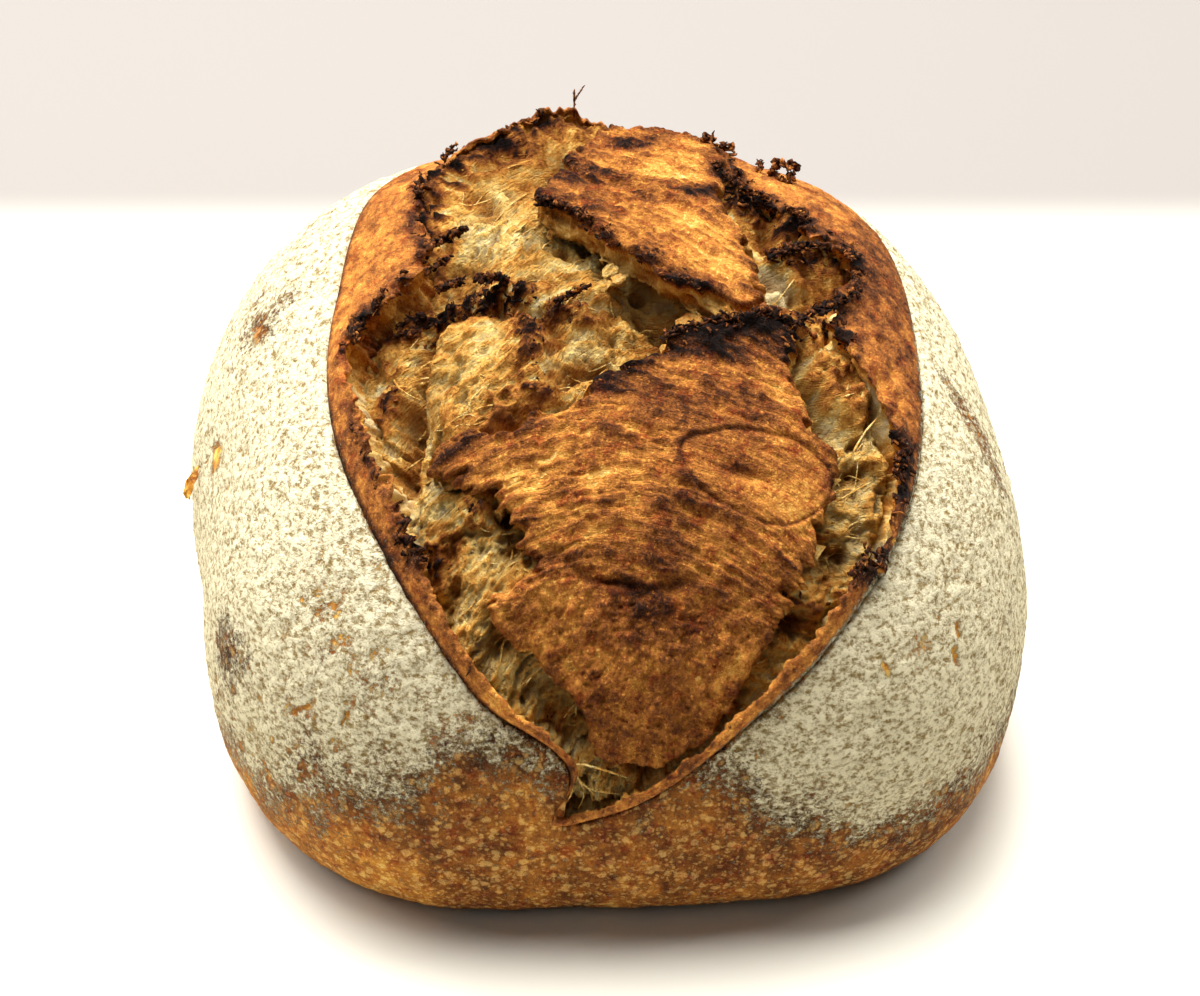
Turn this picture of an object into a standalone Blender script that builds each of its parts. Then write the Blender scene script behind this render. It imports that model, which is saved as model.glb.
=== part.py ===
"""Round sourdough loaf whose floured crust burst open over the top while it baked.

The loaf is one solid. Its crust is worked out on the unrolled dome: a flat sheet in millimetres whose
middle is the crown, +X to the right and +Y to the back, and whose rim is the edge of the flat base.
"""

import math

import bpy
import numpy as np

MM = 0.001

# The plain dome, in millimetres.
HALF_WIDTH = 120.0
FRONT_DEPTH = 112.0
BACK_DEPTH = 115.0
CROWN_HEIGHT = 136.0
BELLY_HEIGHT = 36.0
BASE_SHARE = 0.865
PLAN_SQUARENESS = 2.6
DOME_FULLNESS = 2.42
UNDERSIDE_FULLNESS = 2.2
CROWN_SHIFT = (4.0, 27.0)
# Middle of the lopsided plan, which becomes the origin.
PLAN_MIDDLE = (-0.48, 4.04)
MEAN_RADIUS = 117.0
# Waves round the plan that make the loaf lopsided: turns, cosine share, sine share.
PLAN_WAVES = ((2, 0.013, -0.031), (3, 0.011, 0.016))
# Where the side stands out from that plan, or in: heading in degrees, counted from the right towards the
# back, and millimetres. Each pull fades out over PULL_REACH degrees and towards the crown.
SIDE_PULLS = (
    (0, -4.3), (24, -4.9), (48, -2.3), (72, -0.6), (120, -0.3), (144, -1.2), (168, -1.6), (192, -7.0),
    (216, -1.8), (240, 0.4), (264, -6.1), (288, -7.7), (312, -0.3), (336, -1.1),
)
PULL_REACH = 16.0

# The mesh: quads along each side of the square sheet, and how it crowds towards the burst.
SHEET_STEPS = 74
SHEET_CENTRE = (4.0, -40.0)
CENTRE_CROWDING = 0.70
# Rounds of evening out the relief between neighbouring points, so that torn walls don't turn to teeth.
EVENING_ROUNDS = 2

# The score line where the floured crust ends, then the torn lip inside it, on the unrolled crust.
CREASE = (
    (-17.5, -168), (-10, -151), (-35, -130), (-50, -104), (-60, -82), (-70, -55), (-75, -25), (-73, 0),
    (-66, 25), (-56, 48), (-38, 67), (-12, 79), (18, 81), (45, 71), (64, 53), (77, 30),
    (83, 3), (82, -25), (80, -50), (76, -72), (69, -94), (59, -118), (42, -142), (24, -157.5),
    (4, -166),
)
LIP = (
    (-15.5, -164.5), (-7.5, -149.5), (-30.5, -129), (-45, -103), (-52.5, -81), (-62, -54), (-66, -30), (-49, -10),
    (-48, 10), (-42, 25), (-27, 37), (-9, 47), (10, 49), (25, 40), (34, 16), (50, 8),
    (63, -4), (55, -28), (69, -49), (72, -70), (64, -92), (54.5, -116.5), (38.5, -139.5), (22, -154),
    (3, -163),
)
OUTLINE_STEPS = 5
LIP_HEIGHT = 3.2
REAR_LIP_HEIGHT = 7.0
# The lip's crest at the back: middle, reach across and along, and height.
LIP_CREST = (-17, 50, 13, 30, 7.0)
LIP_WALL = 7.5
VALLEY_LEVEL = -10.0

# Mounds of open crumb in the burst: middle, radius across and along, level against the dome.
MOUNDS = (
    ((-24, 16), (19, 22), -1.5),
    ((-10, -12), (24, 14), -2.5),
    ((-33, -47), (15, 20), 0.5),
    ((-38, -86), (11, 14), -5.0),
    ((57, -41), (9, 11), 0.5),
    ((40, -20), (9, 12), -4.0),
    ((63, -64), (9, 22), -5.0),
    ((44, -4), (14, 12), -2.0),
    ((-29, -116), (14, 28), -3.0),
    ((0, -157), (18, 9), -2.6),
    ((53, -110), (9, 24), -3.5),
)

# Torn plates of browned dough, the long front one and the rear one: outline, then its high place and its
# low one, each with the level there.
PLATES = (
    (
        ((41, -33), (20, -44), (0, -58), (-18, -67), (-43, -67), (-44, -73), (-27, -84), (-21, -97),
         (-18, -102), (-31, -104), (-31, -111), (-14, -127), (-5, -137), (0, -148), (14, -151.5),
         (30, -147), (42, -133), (45, -119), (50, -105), (54, -86), (55, -66), (45, -55), (42, -42)),
        (41, -33, 8.0), (8, -150, -1.5),
    ),
    (
        ((-18, 5), (-8, -3), (-1, -13), (10, -21), (30, -32), (35, -27), (33, -10), (29, 3),
         (28, 20), (27, 40), (14, 52), (0, 48), (-9, 32), (-13, 15)),
        (-18, 5, 7.0), (18, 42, 8.0),
    ),
)
PLATE_EDGE = 5.5

# Ridges and gaps: path, height (below nought for a gap) and half-width.
RIDGES = (
    (((-62, -24), (-50, -18), (-38, -20), (-24, -22), (-17, -28), (-7, -31)), 6.0, 3.0),
    (((-22, -26), (-19, -45), (-17, -60)), 4.0, 4.0),
    (((40, -9), (49, -3), (57, -1)), 5.0, 2.6),
    (((43, -32), (50, -25), (58, -19), (63, -10)), 6.0, 3.0),
    (((46, -90), (51, -97), (57, -99), (68, -88)), 6.0, 3.0),
    (((-52, -84), (-46, -90), (-43, -98)), 3.0, 4.0),
    (((52, -36), (54, -43), (55, -50)), 3.0, 3.0),
    (((-36, -80), (-33, -86)), 5.0, 3.5),
)
GAPS = (
    (((-47, -27), (-50, -38), (-54, -52), (-56, -66), (-57, -75)), -7.0, 3.5),
    (((-14, -1), (-3, -10), (8, -21), (17, -33)), -6.0, 3.5),
    (((-42, -99), (-30, -116), (-18, -131), (-6, -146)), -1.2, 4.0),
    (((53, -101), (55, -111), (49, -124), (44, -132)), -1.0, 3.5),
    (((42, 4), (50, 3), (56, -2)), -4.0, 3.0),
    (((46, -40), (48, -52), (56, -62), (62, -72), (62, -84)), -3.0, 3.5),
)

PROFILE_STEPS = 400

CRUST_COLOUR = (0.62, 0.42, 0.20, 1.0)
CRUST_ROUGHNESS = 0.85


def clear_scene():
    for item in list(bpy.data.objects):
        bpy.data.objects.remove(item, do_unlink=True)


def side_profile():
    """Distance down the side from the crown, share of the plan radius there, and height."""
    turn = np.linspace(0.0, math.pi / 2, PROFILE_STEPS)
    top_share = np.sin(turn) ** (2 / DOME_FULLNESS)
    top_height = BELLY_HEIGHT + (CROWN_HEIGHT - BELLY_HEIGHT) * np.cos(turn) ** (2 / DOME_FULLNESS)
    low_share = BASE_SHARE + (1 - BASE_SHARE) * np.cos(turn) ** (2 / UNDERSIDE_FULLNESS)
    low_height = BELLY_HEIGHT * (1 - np.sin(turn) ** (2 / UNDERSIDE_FULLNESS))
    share = np.concatenate([top_share, low_share[1:]])
    height = np.concatenate([top_height, low_height[1:]])
    steps = np.hypot(np.diff(share) * MEAN_RADIUS, np.diff(height))
    return np.concatenate([[0.0], np.cumsum(steps)]), share, height


SIDE_LENGTH, SIDE_SHARE, SIDE_HEIGHT = side_profile()
BELLY_REACH = SIDE_LENGTH[PROFILE_STEPS - 1]


def dome(x, y):
    """Points of the plain dome under places on the unrolled crust."""
    down = np.hypot(x, y)
    turn = np.arctan2(y, x)
    share = np.interp(down, SIDE_LENGTH, SIDE_SHARE)
    height = np.interp(down, SIDE_LENGTH, SIDE_HEIGHT)
    cosine, sine = np.cos(turn), np.sin(turn)
    depth = np.where(sine < 0, FRONT_DEPTH, BACK_DEPTH)
    radius = np.abs(cosine / HALF_WIDTH) ** PLAN_SQUARENESS + np.abs(sine / depth) ** PLAN_SQUARENESS
    radius = radius ** (-1 / PLAN_SQUARENESS)
    for waves, even, odd in PLAN_WAVES:
        radius = radius * (1 + even * np.cos(waves * turn) + odd * np.sin(waves * turn))
    fades_in = np.where(down < BELLY_REACH, ease((share - 0.6) / 0.4), 1.0)
    for heading, amount in SIDE_PULLS:
        aside = (np.degrees(turn) - heading + 180) % 360 - 180
        radius = radius + amount * fades_in * np.exp(-((aside / PULL_REACH) ** 2))
    lean = np.clip((height - BELLY_HEIGHT) / (CROWN_HEIGHT - BELLY_HEIGHT), 0, 1) ** 2
    across = share * radius * cosine + CROWN_SHIFT[0] * lean - PLAN_MIDDLE[0]
    along = share * radius * sine + CROWN_SHIFT[1] * lean - PLAN_MIDDLE[1]
    return np.stack([across, along, height], axis=-1)


def dome_normals(x, y, step=0.5):
    """Outward directions of the plain dome."""
    across = dome(x + step, y) - dome(x - step, y)
    along = dome(x, y + step) - dome(x, y - step)
    normal = np.cross(across, along)
    return normal / np.linalg.norm(normal, axis=-1, keepdims=True)


def closed_spline(points, steps):
    """A smooth closed line through the points, each span cut into steps."""
    p = np.array(points, float)
    before, after, beyond = np.roll(p, 1, 0), np.roll(p, -1, 0), np.roll(p, -2, 0)
    t = (np.arange(steps) / steps)[None, :, None]
    p0, p1, p2, p3 = (q[:, None, :] for q in (before, p, after, beyond))
    curve = 0.5 * (2 * p1 + (p2 - p0) * t + (2 * p0 - 5 * p1 + 4 * p2 - p3) * t**2
                   + (3 * p1 - p0 - 3 * p2 + p3) * t**3)
    return curve.reshape(-1, 2)


def distance_to_path(x, y, path):
    """Distance from each place to an open path."""
    nearest = np.full(np.shape(x), np.inf)
    for (x0, y0), (x1, y1) in zip(path[:-1], path[1:]):
        span_x, span_y = x1 - x0, y1 - y0
        share = ((x - x0) * span_x + (y - y0) * span_y) / (span_x**2 + span_y**2)
        share = np.clip(share, 0, 1)
        nearest = np.minimum(nearest, np.hypot(x - x0 - share * span_x, y - y0 - share * span_y))
    return nearest


def depth_inside(x, y, outline):
    """Distance to a closed outline, above nought inside it and below nought outside."""
    ring = np.vstack([outline, outline[:1]])
    inside = np.zeros(np.shape(x), bool)
    for (x0, y0), (x1, y1) in zip(ring[:-1], ring[1:]):
        crosses = (y0 > y) != (y1 > y)
        rise = y1 - y0 if y1 != y0 else 1e-9
        inside ^= crosses & (x < (x1 - x0) * (y - y0) / rise + x0)
    distance = distance_to_path(x, y, ring)
    return np.where(inside, distance, -distance)


def ease(value):
    """Runs smoothly from 0 to 1 as value does."""
    t = np.clip(value, 0, 1)
    return t * t * (3 - 2 * t)


def crumb_level(x, y):
    """Floor of the burst: a valley with mounds of torn crumb in it."""
    level = np.full(np.shape(x), VALLEY_LEVEL)
    for (mid_x, mid_y), (half_x, half_y), top in MOUNDS:
        reach = ((x - mid_x) / half_x) ** 2 + ((y - mid_y) / half_y) ** 2
        level = np.maximum(level, VALLEY_LEVEL + (top - VALLEY_LEVEL) * ease(1.6 - reach))
    return level


def plate_level(x, y, high, low):
    """Top of a torn plate, sloping from its high place to its low one."""
    along = np.array(low[:2], float) - high[:2]
    share = ((x - high[0]) * along[0] + (y - high[1]) * along[1]) / (along @ along)
    return high[2] + (low[2] - high[2]) * np.clip(share, 0, 1)


def lip_level(x, y):
    """Height of the torn lip above the plain dome."""
    mid_x, mid_y, reach_x, reach_y, crest = LIP_CREST
    crest = crest * np.exp(-(((x - mid_x) / reach_x) ** 2) - ((y - mid_y) / reach_y) ** 2)
    return LIP_HEIGHT + (REAR_LIP_HEIGHT - LIP_HEIGHT) * ease((y + 30) / 80) + crest


def relief(x, y):
    """How far the loaf stands out from the plain dome at places on the unrolled crust."""
    crease = depth_inside(x, y, closed_spline(CREASE, OUTLINE_STEPS))
    lip = depth_inside(x, y, closed_spline(LIP, OUTLINE_STEPS))
    lip_height = lip_level(x, y)
    band = lip_height * np.clip(crease / (crease - lip + 1e-6), 0, 1)
    level = crumb_level(x, y)
    for path, height, half_width in RIDGES + GAPS:
        level = level + height * np.exp(-((distance_to_path(x, y, path) / half_width) ** 2))
    for outline, high, low in PLATES:
        top = plate_level(x, y, high, low)
        edge = ease(depth_inside(x, y, closed_spline(outline, OUTLINE_STEPS)) / PLATE_EDGE + 0.5)
        level = np.maximum(level, level + (top - level) * edge)
    inner = lip_height + (level - lip_height) * ease(lip / LIP_WALL)
    return np.where(crease <= 0, 0.0, np.where(lip <= 0, band, inner))


def sheet_places():
    """Places on the unrolled crust for a square sheet of points wrapped over the whole loaf."""
    side = np.linspace(-1, 1, SHEET_STEPS + 1)
    across, along = np.meshgrid(side, side)
    radius = np.maximum(np.abs(across), np.abs(along))
    safe = np.where(radius > 0, radius, 1)
    flat = np.abs(across) >= np.abs(along)
    turn = np.where(flat, along / safe, across / safe) * math.pi / 4
    unit_x = np.where(flat, np.sign(across) * np.cos(turn), np.sin(turn))
    unit_y = np.where(flat, np.sin(turn), np.sign(along) * np.cos(turn))
    spread = SIDE_LENGTH[-1] * radius * (CENTRE_CROWDING + (1 - CENTRE_CROWDING) * radius**2)
    x = SHEET_CENTRE[0] * (1 - radius) + spread * unit_x
    y = SHEET_CENTRE[1] * (1 - radius) + spread * unit_y
    return x, y


def evened(level):
    """The relief with each inner point drawn halfway to the middle of its neighbours."""
    for _ in range(EVENING_ROUNDS):
        beside = level[:-2, 1:-1] + level[2:, 1:-1] + level[1:-1, :-2] + level[1:-1, 2:]
        level = level.copy()
        level[1:-1, 1:-1] = 0.5 * level[1:-1, 1:-1] + 0.125 * beside
    return level


def border_of(size):
    """Row and column of each point round the sheet's edge, in turn."""
    last = size - 1
    sides = [[(0, i) for i in range(last)], [(i, last) for i in range(last)]]
    sides += [[(last, last - i) for i in range(last)], [(last - i, 0) for i in range(last)]]
    return [place for side in sides for place in side]


def loaf_mesh():
    """The crust as one sheet of quads, closed underneath by the flat base."""
    x, y = sheet_places()
    points = dome(x, y) + dome_normals(x, y) * evened(relief(x, y))[..., None]
    size = SHEET_STEPS + 1
    for row, column in border_of(size):
        points[row, column, 2] = 0.0
    index = np.arange(size * size).reshape(size, size)
    faces = [
        (int(index[r, c]), int(index[r, c + 1]), int(index[r + 1, c + 1]), int(index[r + 1, c]))
        for r in range(SHEET_STEPS)
        for c in range(SHEET_STEPS)
    ]
    faces.append(tuple(int(index[place]) for place in reversed(border_of(size))))
    mesh = bpy.data.meshes.new("loaf")
    mesh.from_pydata((points.reshape(-1, 3) * MM).tolist(), [], faces)
    mesh.validate()
    mesh.shade_smooth()
    return mesh


def crust_material():
    material = bpy.data.materials.new("baked_crust")
    material.use_nodes = True
    shader = material.node_tree.nodes["Principled BSDF"]
    shader.inputs["Base Color"].default_value = CRUST_COLOUR
    shader.inputs["Roughness"].default_value = CRUST_ROUGHNESS
    return material


def build():
    clear_scene()
    mesh = loaf_mesh()
    mesh.materials.append(crust_material())
    loaf = bpy.data.objects.new("loaf", mesh)
    bpy.context.scene.collection.objects.link(loaf)


build()
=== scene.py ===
import math

import bpy
import numpy as np
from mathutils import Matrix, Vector


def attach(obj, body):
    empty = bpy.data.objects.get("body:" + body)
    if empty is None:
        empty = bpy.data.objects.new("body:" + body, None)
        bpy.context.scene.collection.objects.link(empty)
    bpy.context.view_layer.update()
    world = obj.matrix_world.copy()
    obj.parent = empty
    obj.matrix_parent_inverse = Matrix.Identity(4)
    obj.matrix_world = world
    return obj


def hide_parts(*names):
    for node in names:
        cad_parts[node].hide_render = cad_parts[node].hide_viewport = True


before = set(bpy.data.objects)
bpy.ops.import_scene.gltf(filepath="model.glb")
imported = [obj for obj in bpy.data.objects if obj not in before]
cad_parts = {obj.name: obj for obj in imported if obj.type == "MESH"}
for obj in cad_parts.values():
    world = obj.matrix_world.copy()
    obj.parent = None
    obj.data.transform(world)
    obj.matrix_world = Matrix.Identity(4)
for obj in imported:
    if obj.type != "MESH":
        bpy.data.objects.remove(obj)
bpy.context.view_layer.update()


# Floured crust. The skin of the dough, dried in its floured basket and baked hard: flour over the top and
# sides, bare blistered crust low at the front. It is worked out on the unrolled dome, a flat sheet in
# millimetres whose middle is the crown, +X to the right and +Y to the back.
MM = 0.001
HALF_WIDTH = 120.0
FRONT_DEPTH = 112.0
BACK_DEPTH = 115.0
CROWN_HEIGHT = 136.0
BELLY_HEIGHT = 36.0
BASE_SHARE = 0.865
PLAN_SQUARENESS = 2.6
PROFILE_STEPS = 400
DOME_FULLNESS = 2.42
UNDERSIDE_FULLNESS = 2.2
CROWN_SHIFT = (4.0, 27.0)
PLAN_MIDDLE = (-0.48, 4.04)
MEAN_RADIUS = 117.0
PLAN_WAVES = ((2, 0.013, -0.031), (3, 0.011, 0.016))
# Where the side stands out from that plan, or in: heading in degrees, from the right to the back, and mm.
SIDE_PULLS = (
    (0, -4.3), (24, -4.9), (48, -2.3), (72, -0.6), (120, -0.3), (144, -1.2), (168, -1.6), (192, -7.0),
    (216, -1.8), (240, 0.4), (264, -6.1), (288, -7.7), (312, -0.3), (336, -1.1),
)
PULL_REACH = 16.0
BURST_MIDDLE = (4.0, -40.0)


def ease(value):
    """Runs smoothly from 0 to 1 as value does."""
    t = np.clip(value, 0, 1)
    return t * t * (3 - 2 * t)


def bell(value):
    """Falls smoothly from 1 where value is nought to 0 on both sides."""
    return np.exp(-(value**2))


def side_profile():
    """Distance down the side from the crown, share of the plan radius there, and height."""
    turn = np.linspace(0.0, math.pi / 2, PROFILE_STEPS)
    top_share = np.sin(turn) ** (2 / DOME_FULLNESS)
    top_height = BELLY_HEIGHT + (CROWN_HEIGHT - BELLY_HEIGHT) * np.cos(turn) ** (2 / DOME_FULLNESS)
    low_share = BASE_SHARE + (1 - BASE_SHARE) * np.cos(turn) ** (2 / UNDERSIDE_FULLNESS)
    low_height = BELLY_HEIGHT * (1 - np.sin(turn) ** (2 / UNDERSIDE_FULLNESS))
    share = np.concatenate([top_share, low_share[1:]])
    height = np.concatenate([top_height, low_height[1:]])
    steps = np.hypot(np.diff(share) * MEAN_RADIUS, np.diff(height))
    return np.concatenate([[0.0], np.cumsum(steps)]), share, height


SIDE_LENGTH, SIDE_SHARE, SIDE_HEIGHT = side_profile()
BASE_REACH = SIDE_LENGTH[-1]
BELLY_REACH = SIDE_LENGTH[PROFILE_STEPS - 1]


def dome(x, y):
    """Points of the plain dome under places on the unrolled crust."""
    down = np.hypot(x, y)
    turn = np.arctan2(y, x)
    share = np.interp(down, SIDE_LENGTH, SIDE_SHARE)
    height = np.interp(down, SIDE_LENGTH, SIDE_HEIGHT)
    cosine, sine = np.cos(turn), np.sin(turn)
    depth = np.where(sine < 0, FRONT_DEPTH, BACK_DEPTH)
    radius = np.abs(cosine / HALF_WIDTH) ** PLAN_SQUARENESS + np.abs(sine / depth) ** PLAN_SQUARENESS
    radius = radius ** (-1 / PLAN_SQUARENESS)
    for waves, even, odd in PLAN_WAVES:
        radius = radius * (1 + even * np.cos(waves * turn) + odd * np.sin(waves * turn))
    fades_in = np.where(down < BELLY_REACH, ease((share - 0.6) / 0.4), 1.0)
    for heading, amount in SIDE_PULLS:
        aside = (np.degrees(turn) - heading + 180) % 360 - 180
        radius = radius + amount * fades_in * bell(aside / PULL_REACH)
    lean = np.clip((height - BELLY_HEIGHT) / (CROWN_HEIGHT - BELLY_HEIGHT), 0, 1) ** 2
    across = share * radius * cosine + CROWN_SHIFT[0] * lean - PLAN_MIDDLE[0]
    along = share * radius * sine + CROWN_SHIFT[1] * lean - PLAN_MIDDLE[1]
    return np.stack([across, along, height], axis=-1)


def stand_off(x, y, level, step=0.6):
    """Points at a level above the plain dome."""
    across = dome(x + step, y) - dome(x - step, y)
    along = dome(x, y + step) - dome(x, y - step)
    normal = np.cross(across, along)
    normal /= np.linalg.norm(normal, axis=-1, keepdims=True)
    return dome(x, y) + normal * level[..., None]


def chance(column, row, draw):
    """A fixed random number from 0 to 1 for each cell of a grid."""
    mixed = column.astype(np.int64) * 374761393 + row.astype(np.int64) * 668265263 + draw * 974634777
    mixed &= 0xFFFFFFFF
    mixed = ((mixed ^ (mixed >> 13)) * 1274126177) & 0xFFFFFFFF
    return ((mixed ^ (mixed >> 16)) & 0xFFFF) / 65535.0


def hills(u, v, draw):
    """Soft random hills one unit apart, from -1 to 1."""
    column, row = np.floor(u), np.floor(v)
    s, t = ease(u - column), ease(v - row)
    near = chance(column, row, draw) * (1 - s) + chance(column + 1, row, draw) * s
    far = chance(column, row + 1, draw) * (1 - s) + chance(column + 1, row + 1, draw) * s
    return 2 * (near * (1 - t) + far * t) - 1


def clouds(x, y, size, draw, rounds=1):
    """Soft random hills, size apart, with finer ones on them in each further round."""
    total, weight = 0.0, 0.0
    for turn in range(rounds):
        angle, share = 0.6 + 1.1 * turn + draw, 0.5**turn
        u = (x * math.cos(angle) - y * math.sin(angle)) / (size * share)
        v = (x * math.sin(angle) + y * math.cos(angle)) / (size * share)
        total = total + share * hills(u, v, draw + 7 * turn)
        weight += share
    return total / weight


def cells(x, y, size, draw):
    """Distance to the nearest of scattered middles, in units of size, and that middle's own number."""
    column, row = np.floor(x / size), np.floor(y / size)
    nearest, own = np.full(np.shape(x), 9.0), np.zeros(np.shape(x))
    for over in (-1, 0, 1):
        for up in (-1, 0, 1):
            c, r = column + over, row + up
            mid_x = c + 0.15 + 0.7 * chance(c, r, draw)
            mid_y = r + 0.15 + 0.7 * chance(c, r, draw + 1)
            away = np.hypot(x / size - mid_x, y / size - mid_y)
            closer = away < nearest
            nearest = np.where(closer, away, nearest)
            own = np.where(closer, chance(c, r, draw + 2), own)
    return nearest, own


def closed_spline(points, steps):
    """A smooth closed line through the points, each span cut into steps."""
    p = np.array(points, float)
    before, after, beyond = np.roll(p, 1, 0), np.roll(p, -1, 0), np.roll(p, -2, 0)
    t = (np.arange(steps) / steps)[None, :, None]
    p0, p1, p2, p3 = (q[:, None, :] for q in (before, p, after, beyond))
    curve = 0.5 * (2 * p1 + (p2 - p0) * t + (2 * p0 - 5 * p1 + 4 * p2 - p3) * t**2
                   + (3 * p1 - p0 - 3 * p2 + p3) * t**3)
    return curve.reshape(-1, 2)


def spaced_evenly(line, count):
    """The same closed line with its points at equal distances."""
    ring = np.vstack([line, line[:1]])
    reached = np.concatenate([[0], np.cumsum(np.hypot(*np.diff(ring, axis=0).T))])
    wanted = np.linspace(0, reached[-1], count, endpoint=False)
    return np.stack([np.interp(wanted, reached, ring[:, axis]) for axis in (0, 1)], axis=-1)


def distance_to_path(x, y, path):
    """Distance from each place to an open path."""
    nearest = np.full(np.shape(x), np.inf)
    for (x0, y0), (x1, y1) in zip(path[:-1], path[1:]):
        span_x, span_y = x1 - x0, y1 - y0
        share = ((x - x0) * span_x + (y - y0) * span_y) / (span_x**2 + span_y**2 + 1e-9)
        share = np.clip(share, 0, 1)
        nearest = np.minimum(nearest, np.hypot(x - x0 - share * span_x, y - y0 - share * span_y))
    return nearest


def depth_inside(x, y, outline):
    """Distance to a closed outline, above nought inside it and below nought outside."""
    ring = np.vstack([outline, outline[:1]])
    inside = np.zeros(np.shape(x), bool)
    for (x0, y0), (x1, y1) in zip(ring[:-1], ring[1:]):
        crosses = (y0 > y) != (y1 > y)
        rise = y1 - y0 if y1 != y0 else 1e-9
        inside ^= crosses & (x < (x1 - x0) * (y - y0) / rise + x0)
    distance = distance_to_path(x, y, ring)
    return np.where(inside, distance, -distance)


def spots(x, y, places):
    """Sum of soft round patches, each a middle, its reach across and along, and an amount."""
    total = np.zeros(np.shape(x))
    for mid_x, mid_y, reach_x, reach_y, amount in places:
        total = total + amount * np.exp(-(((x - mid_x) / reach_x) ** 2) - ((y - mid_y) / reach_y) ** 2)
    return total


def skin(name, points, marks, spread, kept=None, closed=False):
    """A mesh of quads through a grid of points in millimetres, with a number at each point for each mark.

    spread is the point's place on the flat pattern that its finish is baked on.
    """
    index = np.arange(points.shape[0] * points.shape[1]).reshape(points.shape[:2])
    if closed:
        index = np.hstack([index, index[:, :1]])
    quads = np.stack([index[:-1, :-1], index[:-1, 1:], index[1:, 1:], index[1:, :-1]], axis=-1).reshape(-1, 4)
    if kept is not None:
        quads = quads[kept.ravel()[quads].all(axis=1)]
    used, quads = np.unique(quads, return_inverse=True)
    mesh = bpy.data.meshes.new(name)
    mesh.vertices.add(len(used))
    mesh.vertices.foreach_set("co", (points.reshape(-1, 3)[used] * MM).astype(np.float32).ravel())
    mesh.loops.add(quads.size)
    mesh.loops.foreach_set("vertex_index", quads.astype(np.int32).ravel())
    mesh.polygons.add(quads.size // 4)
    mesh.polygons.foreach_set("loop_start", np.arange(0, quads.size, 4, dtype=np.int32))
    mesh.update(calc_edges=True)
    for mark, amount in marks.items():
        layer = mesh.attributes.new(mark, "FLOAT", "POINT")
        amount = np.broadcast_to(amount, points.shape[:2]).ravel()[used]
        layer.data.foreach_set("value", amount.astype(np.float32))
    flat = mesh.uv_layers.new(name="OFBake")
    flat.data.foreach_set("uv", spread.reshape(-1, 2)[used][quads.ravel()].astype(np.float32).ravel())
    mesh.shade_smooth()
    piece = bpy.data.objects.new(name, mesh)
    bpy.context.scene.collection.objects.link(piece)
    return piece


def on_pattern(x, y, reach, middle=BURST_MIDDLE):
    """Places on the unrolled crust shrunk onto the flat pattern, which shows reach all round the middle."""
    return np.stack([0.5 + (x - middle[0]) / (2 * reach), 0.5 + (y - middle[1]) / (2 * reach)], axis=-1)


def tone(red, green, blue):
    """A colour as it is mixed for print, 0 to 255, turned into light."""
    return tuple(((c / 255 + 0.055) / 1.055) ** 2.4 for c in (red, green, blue)) + (1.0,)


def add_node(tree, kind, feeds=None, **settings):
    """One node of a finish. Each feed is a number, a colour or another node's output."""
    made = tree.nodes.new(kind)
    for key, value in settings.items():
        setattr(made, key, value)
    for key, value in (feeds or {}).items():
        if isinstance(value, bpy.types.NodeSocket):
            tree.links.new(value, made.inputs[key])
        else:
            made.inputs[key].default_value = value
    return made


def worked(tree, operation, first, second):
    """The outcome of one sum, where each side is a number or another node's output."""
    return add_node(tree, "ShaderNodeMath", {0: first, 1: second}, operation=operation).outputs[0]


def plus(tree, first, second):
    return worked(tree, "ADD", first, second)


def less(tree, first, second):
    return worked(tree, "SUBTRACT", first, second)


def times(tree, first, second):
    return worked(tree, "MULTIPLY", first, second)


def larger(tree, first, second):
    return worked(tree, "MAXIMUM", first, second)


def marked(tree, mark):
    """The number that the mesh holds at each point for a mark."""
    return add_node(tree, "ShaderNodeAttribute", attribute_name=mark).outputs["Fac"]


def speckle(tree, size, detail=3.0, roughness=0.6, stretch=(1, 1, 1)):
    """Even random speckle, its grains about size millimetres apart."""
    place = add_node(tree, "ShaderNodeTexCoord").outputs["Object"]
    if stretch != (1, 1, 1):
        place = add_node(tree, "ShaderNodeMapping", {"Vector": place, "Scale": stretch}).outputs[0]
    feeds = {"Vector": place, "Scale": 1 / (size * MM), "Detail": detail, "Roughness": roughness}
    return add_node(tree, "ShaderNodeTexNoise", feeds).outputs["Fac"]


def blended(tree, amount, first, second, how="MIX"):
    made = add_node(tree, "ShaderNodeMix", {0: amount, 6: first, 7: second}, data_type="RGBA", blend_type=how)
    return made.outputs[2]


def between(tree, value, low, high):
    feeds = {"Value": value, "From Min": low, "From Max": high}
    return add_node(tree, "ShaderNodeMapRange", feeds, interpolation_type="SMOOTHSTEP").outputs["Result"]


def browning(tree, amount, steps):
    """Colours of dough from raw to burnt, each with the share of baking where it is reached."""
    made = add_node(tree, "ShaderNodeValToRGB", {"Fac": amount})
    ramp = made.color_ramp
    while len(ramp.elements) < len(steps):
        ramp.elements.new(0.5)
    for element, (place, colour) in zip(ramp.elements, steps):
        element.position = place
        element.color = colour
    return made.outputs["Color"]


BROWNING = (
    (0.00, tone(250, 230, 174)), (0.13, tone(246, 213, 130)), (0.27, tone(232, 172, 80)),
    (0.41, tone(198, 130, 55)), (0.55, tone(153, 92, 40)), (0.69, tone(104, 58, 26)),
    (0.83, tone(54, 30, 17)), (1.00, tone(16, 10, 7)),
)
FLOUR_LIGHT = tone(237, 226, 190)
FLOUR_DARK = tone(140, 115, 66)
BLISTER_SKIN = tone(214, 180, 122)
RUDDY_CAST = tone(218, 166, 172)
PAINTED_SHADE_TONE = tone(150, 102, 46)
# Bubbles in the bare crust: how far apart, where one fades, from its middle out, and share of places.
LARGE_BLISTERS = (3.0, 0.28, 0.50, 0.66)
SMALL_BLISTERS = (1.4, 0.24, 0.52, 0.75)


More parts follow.
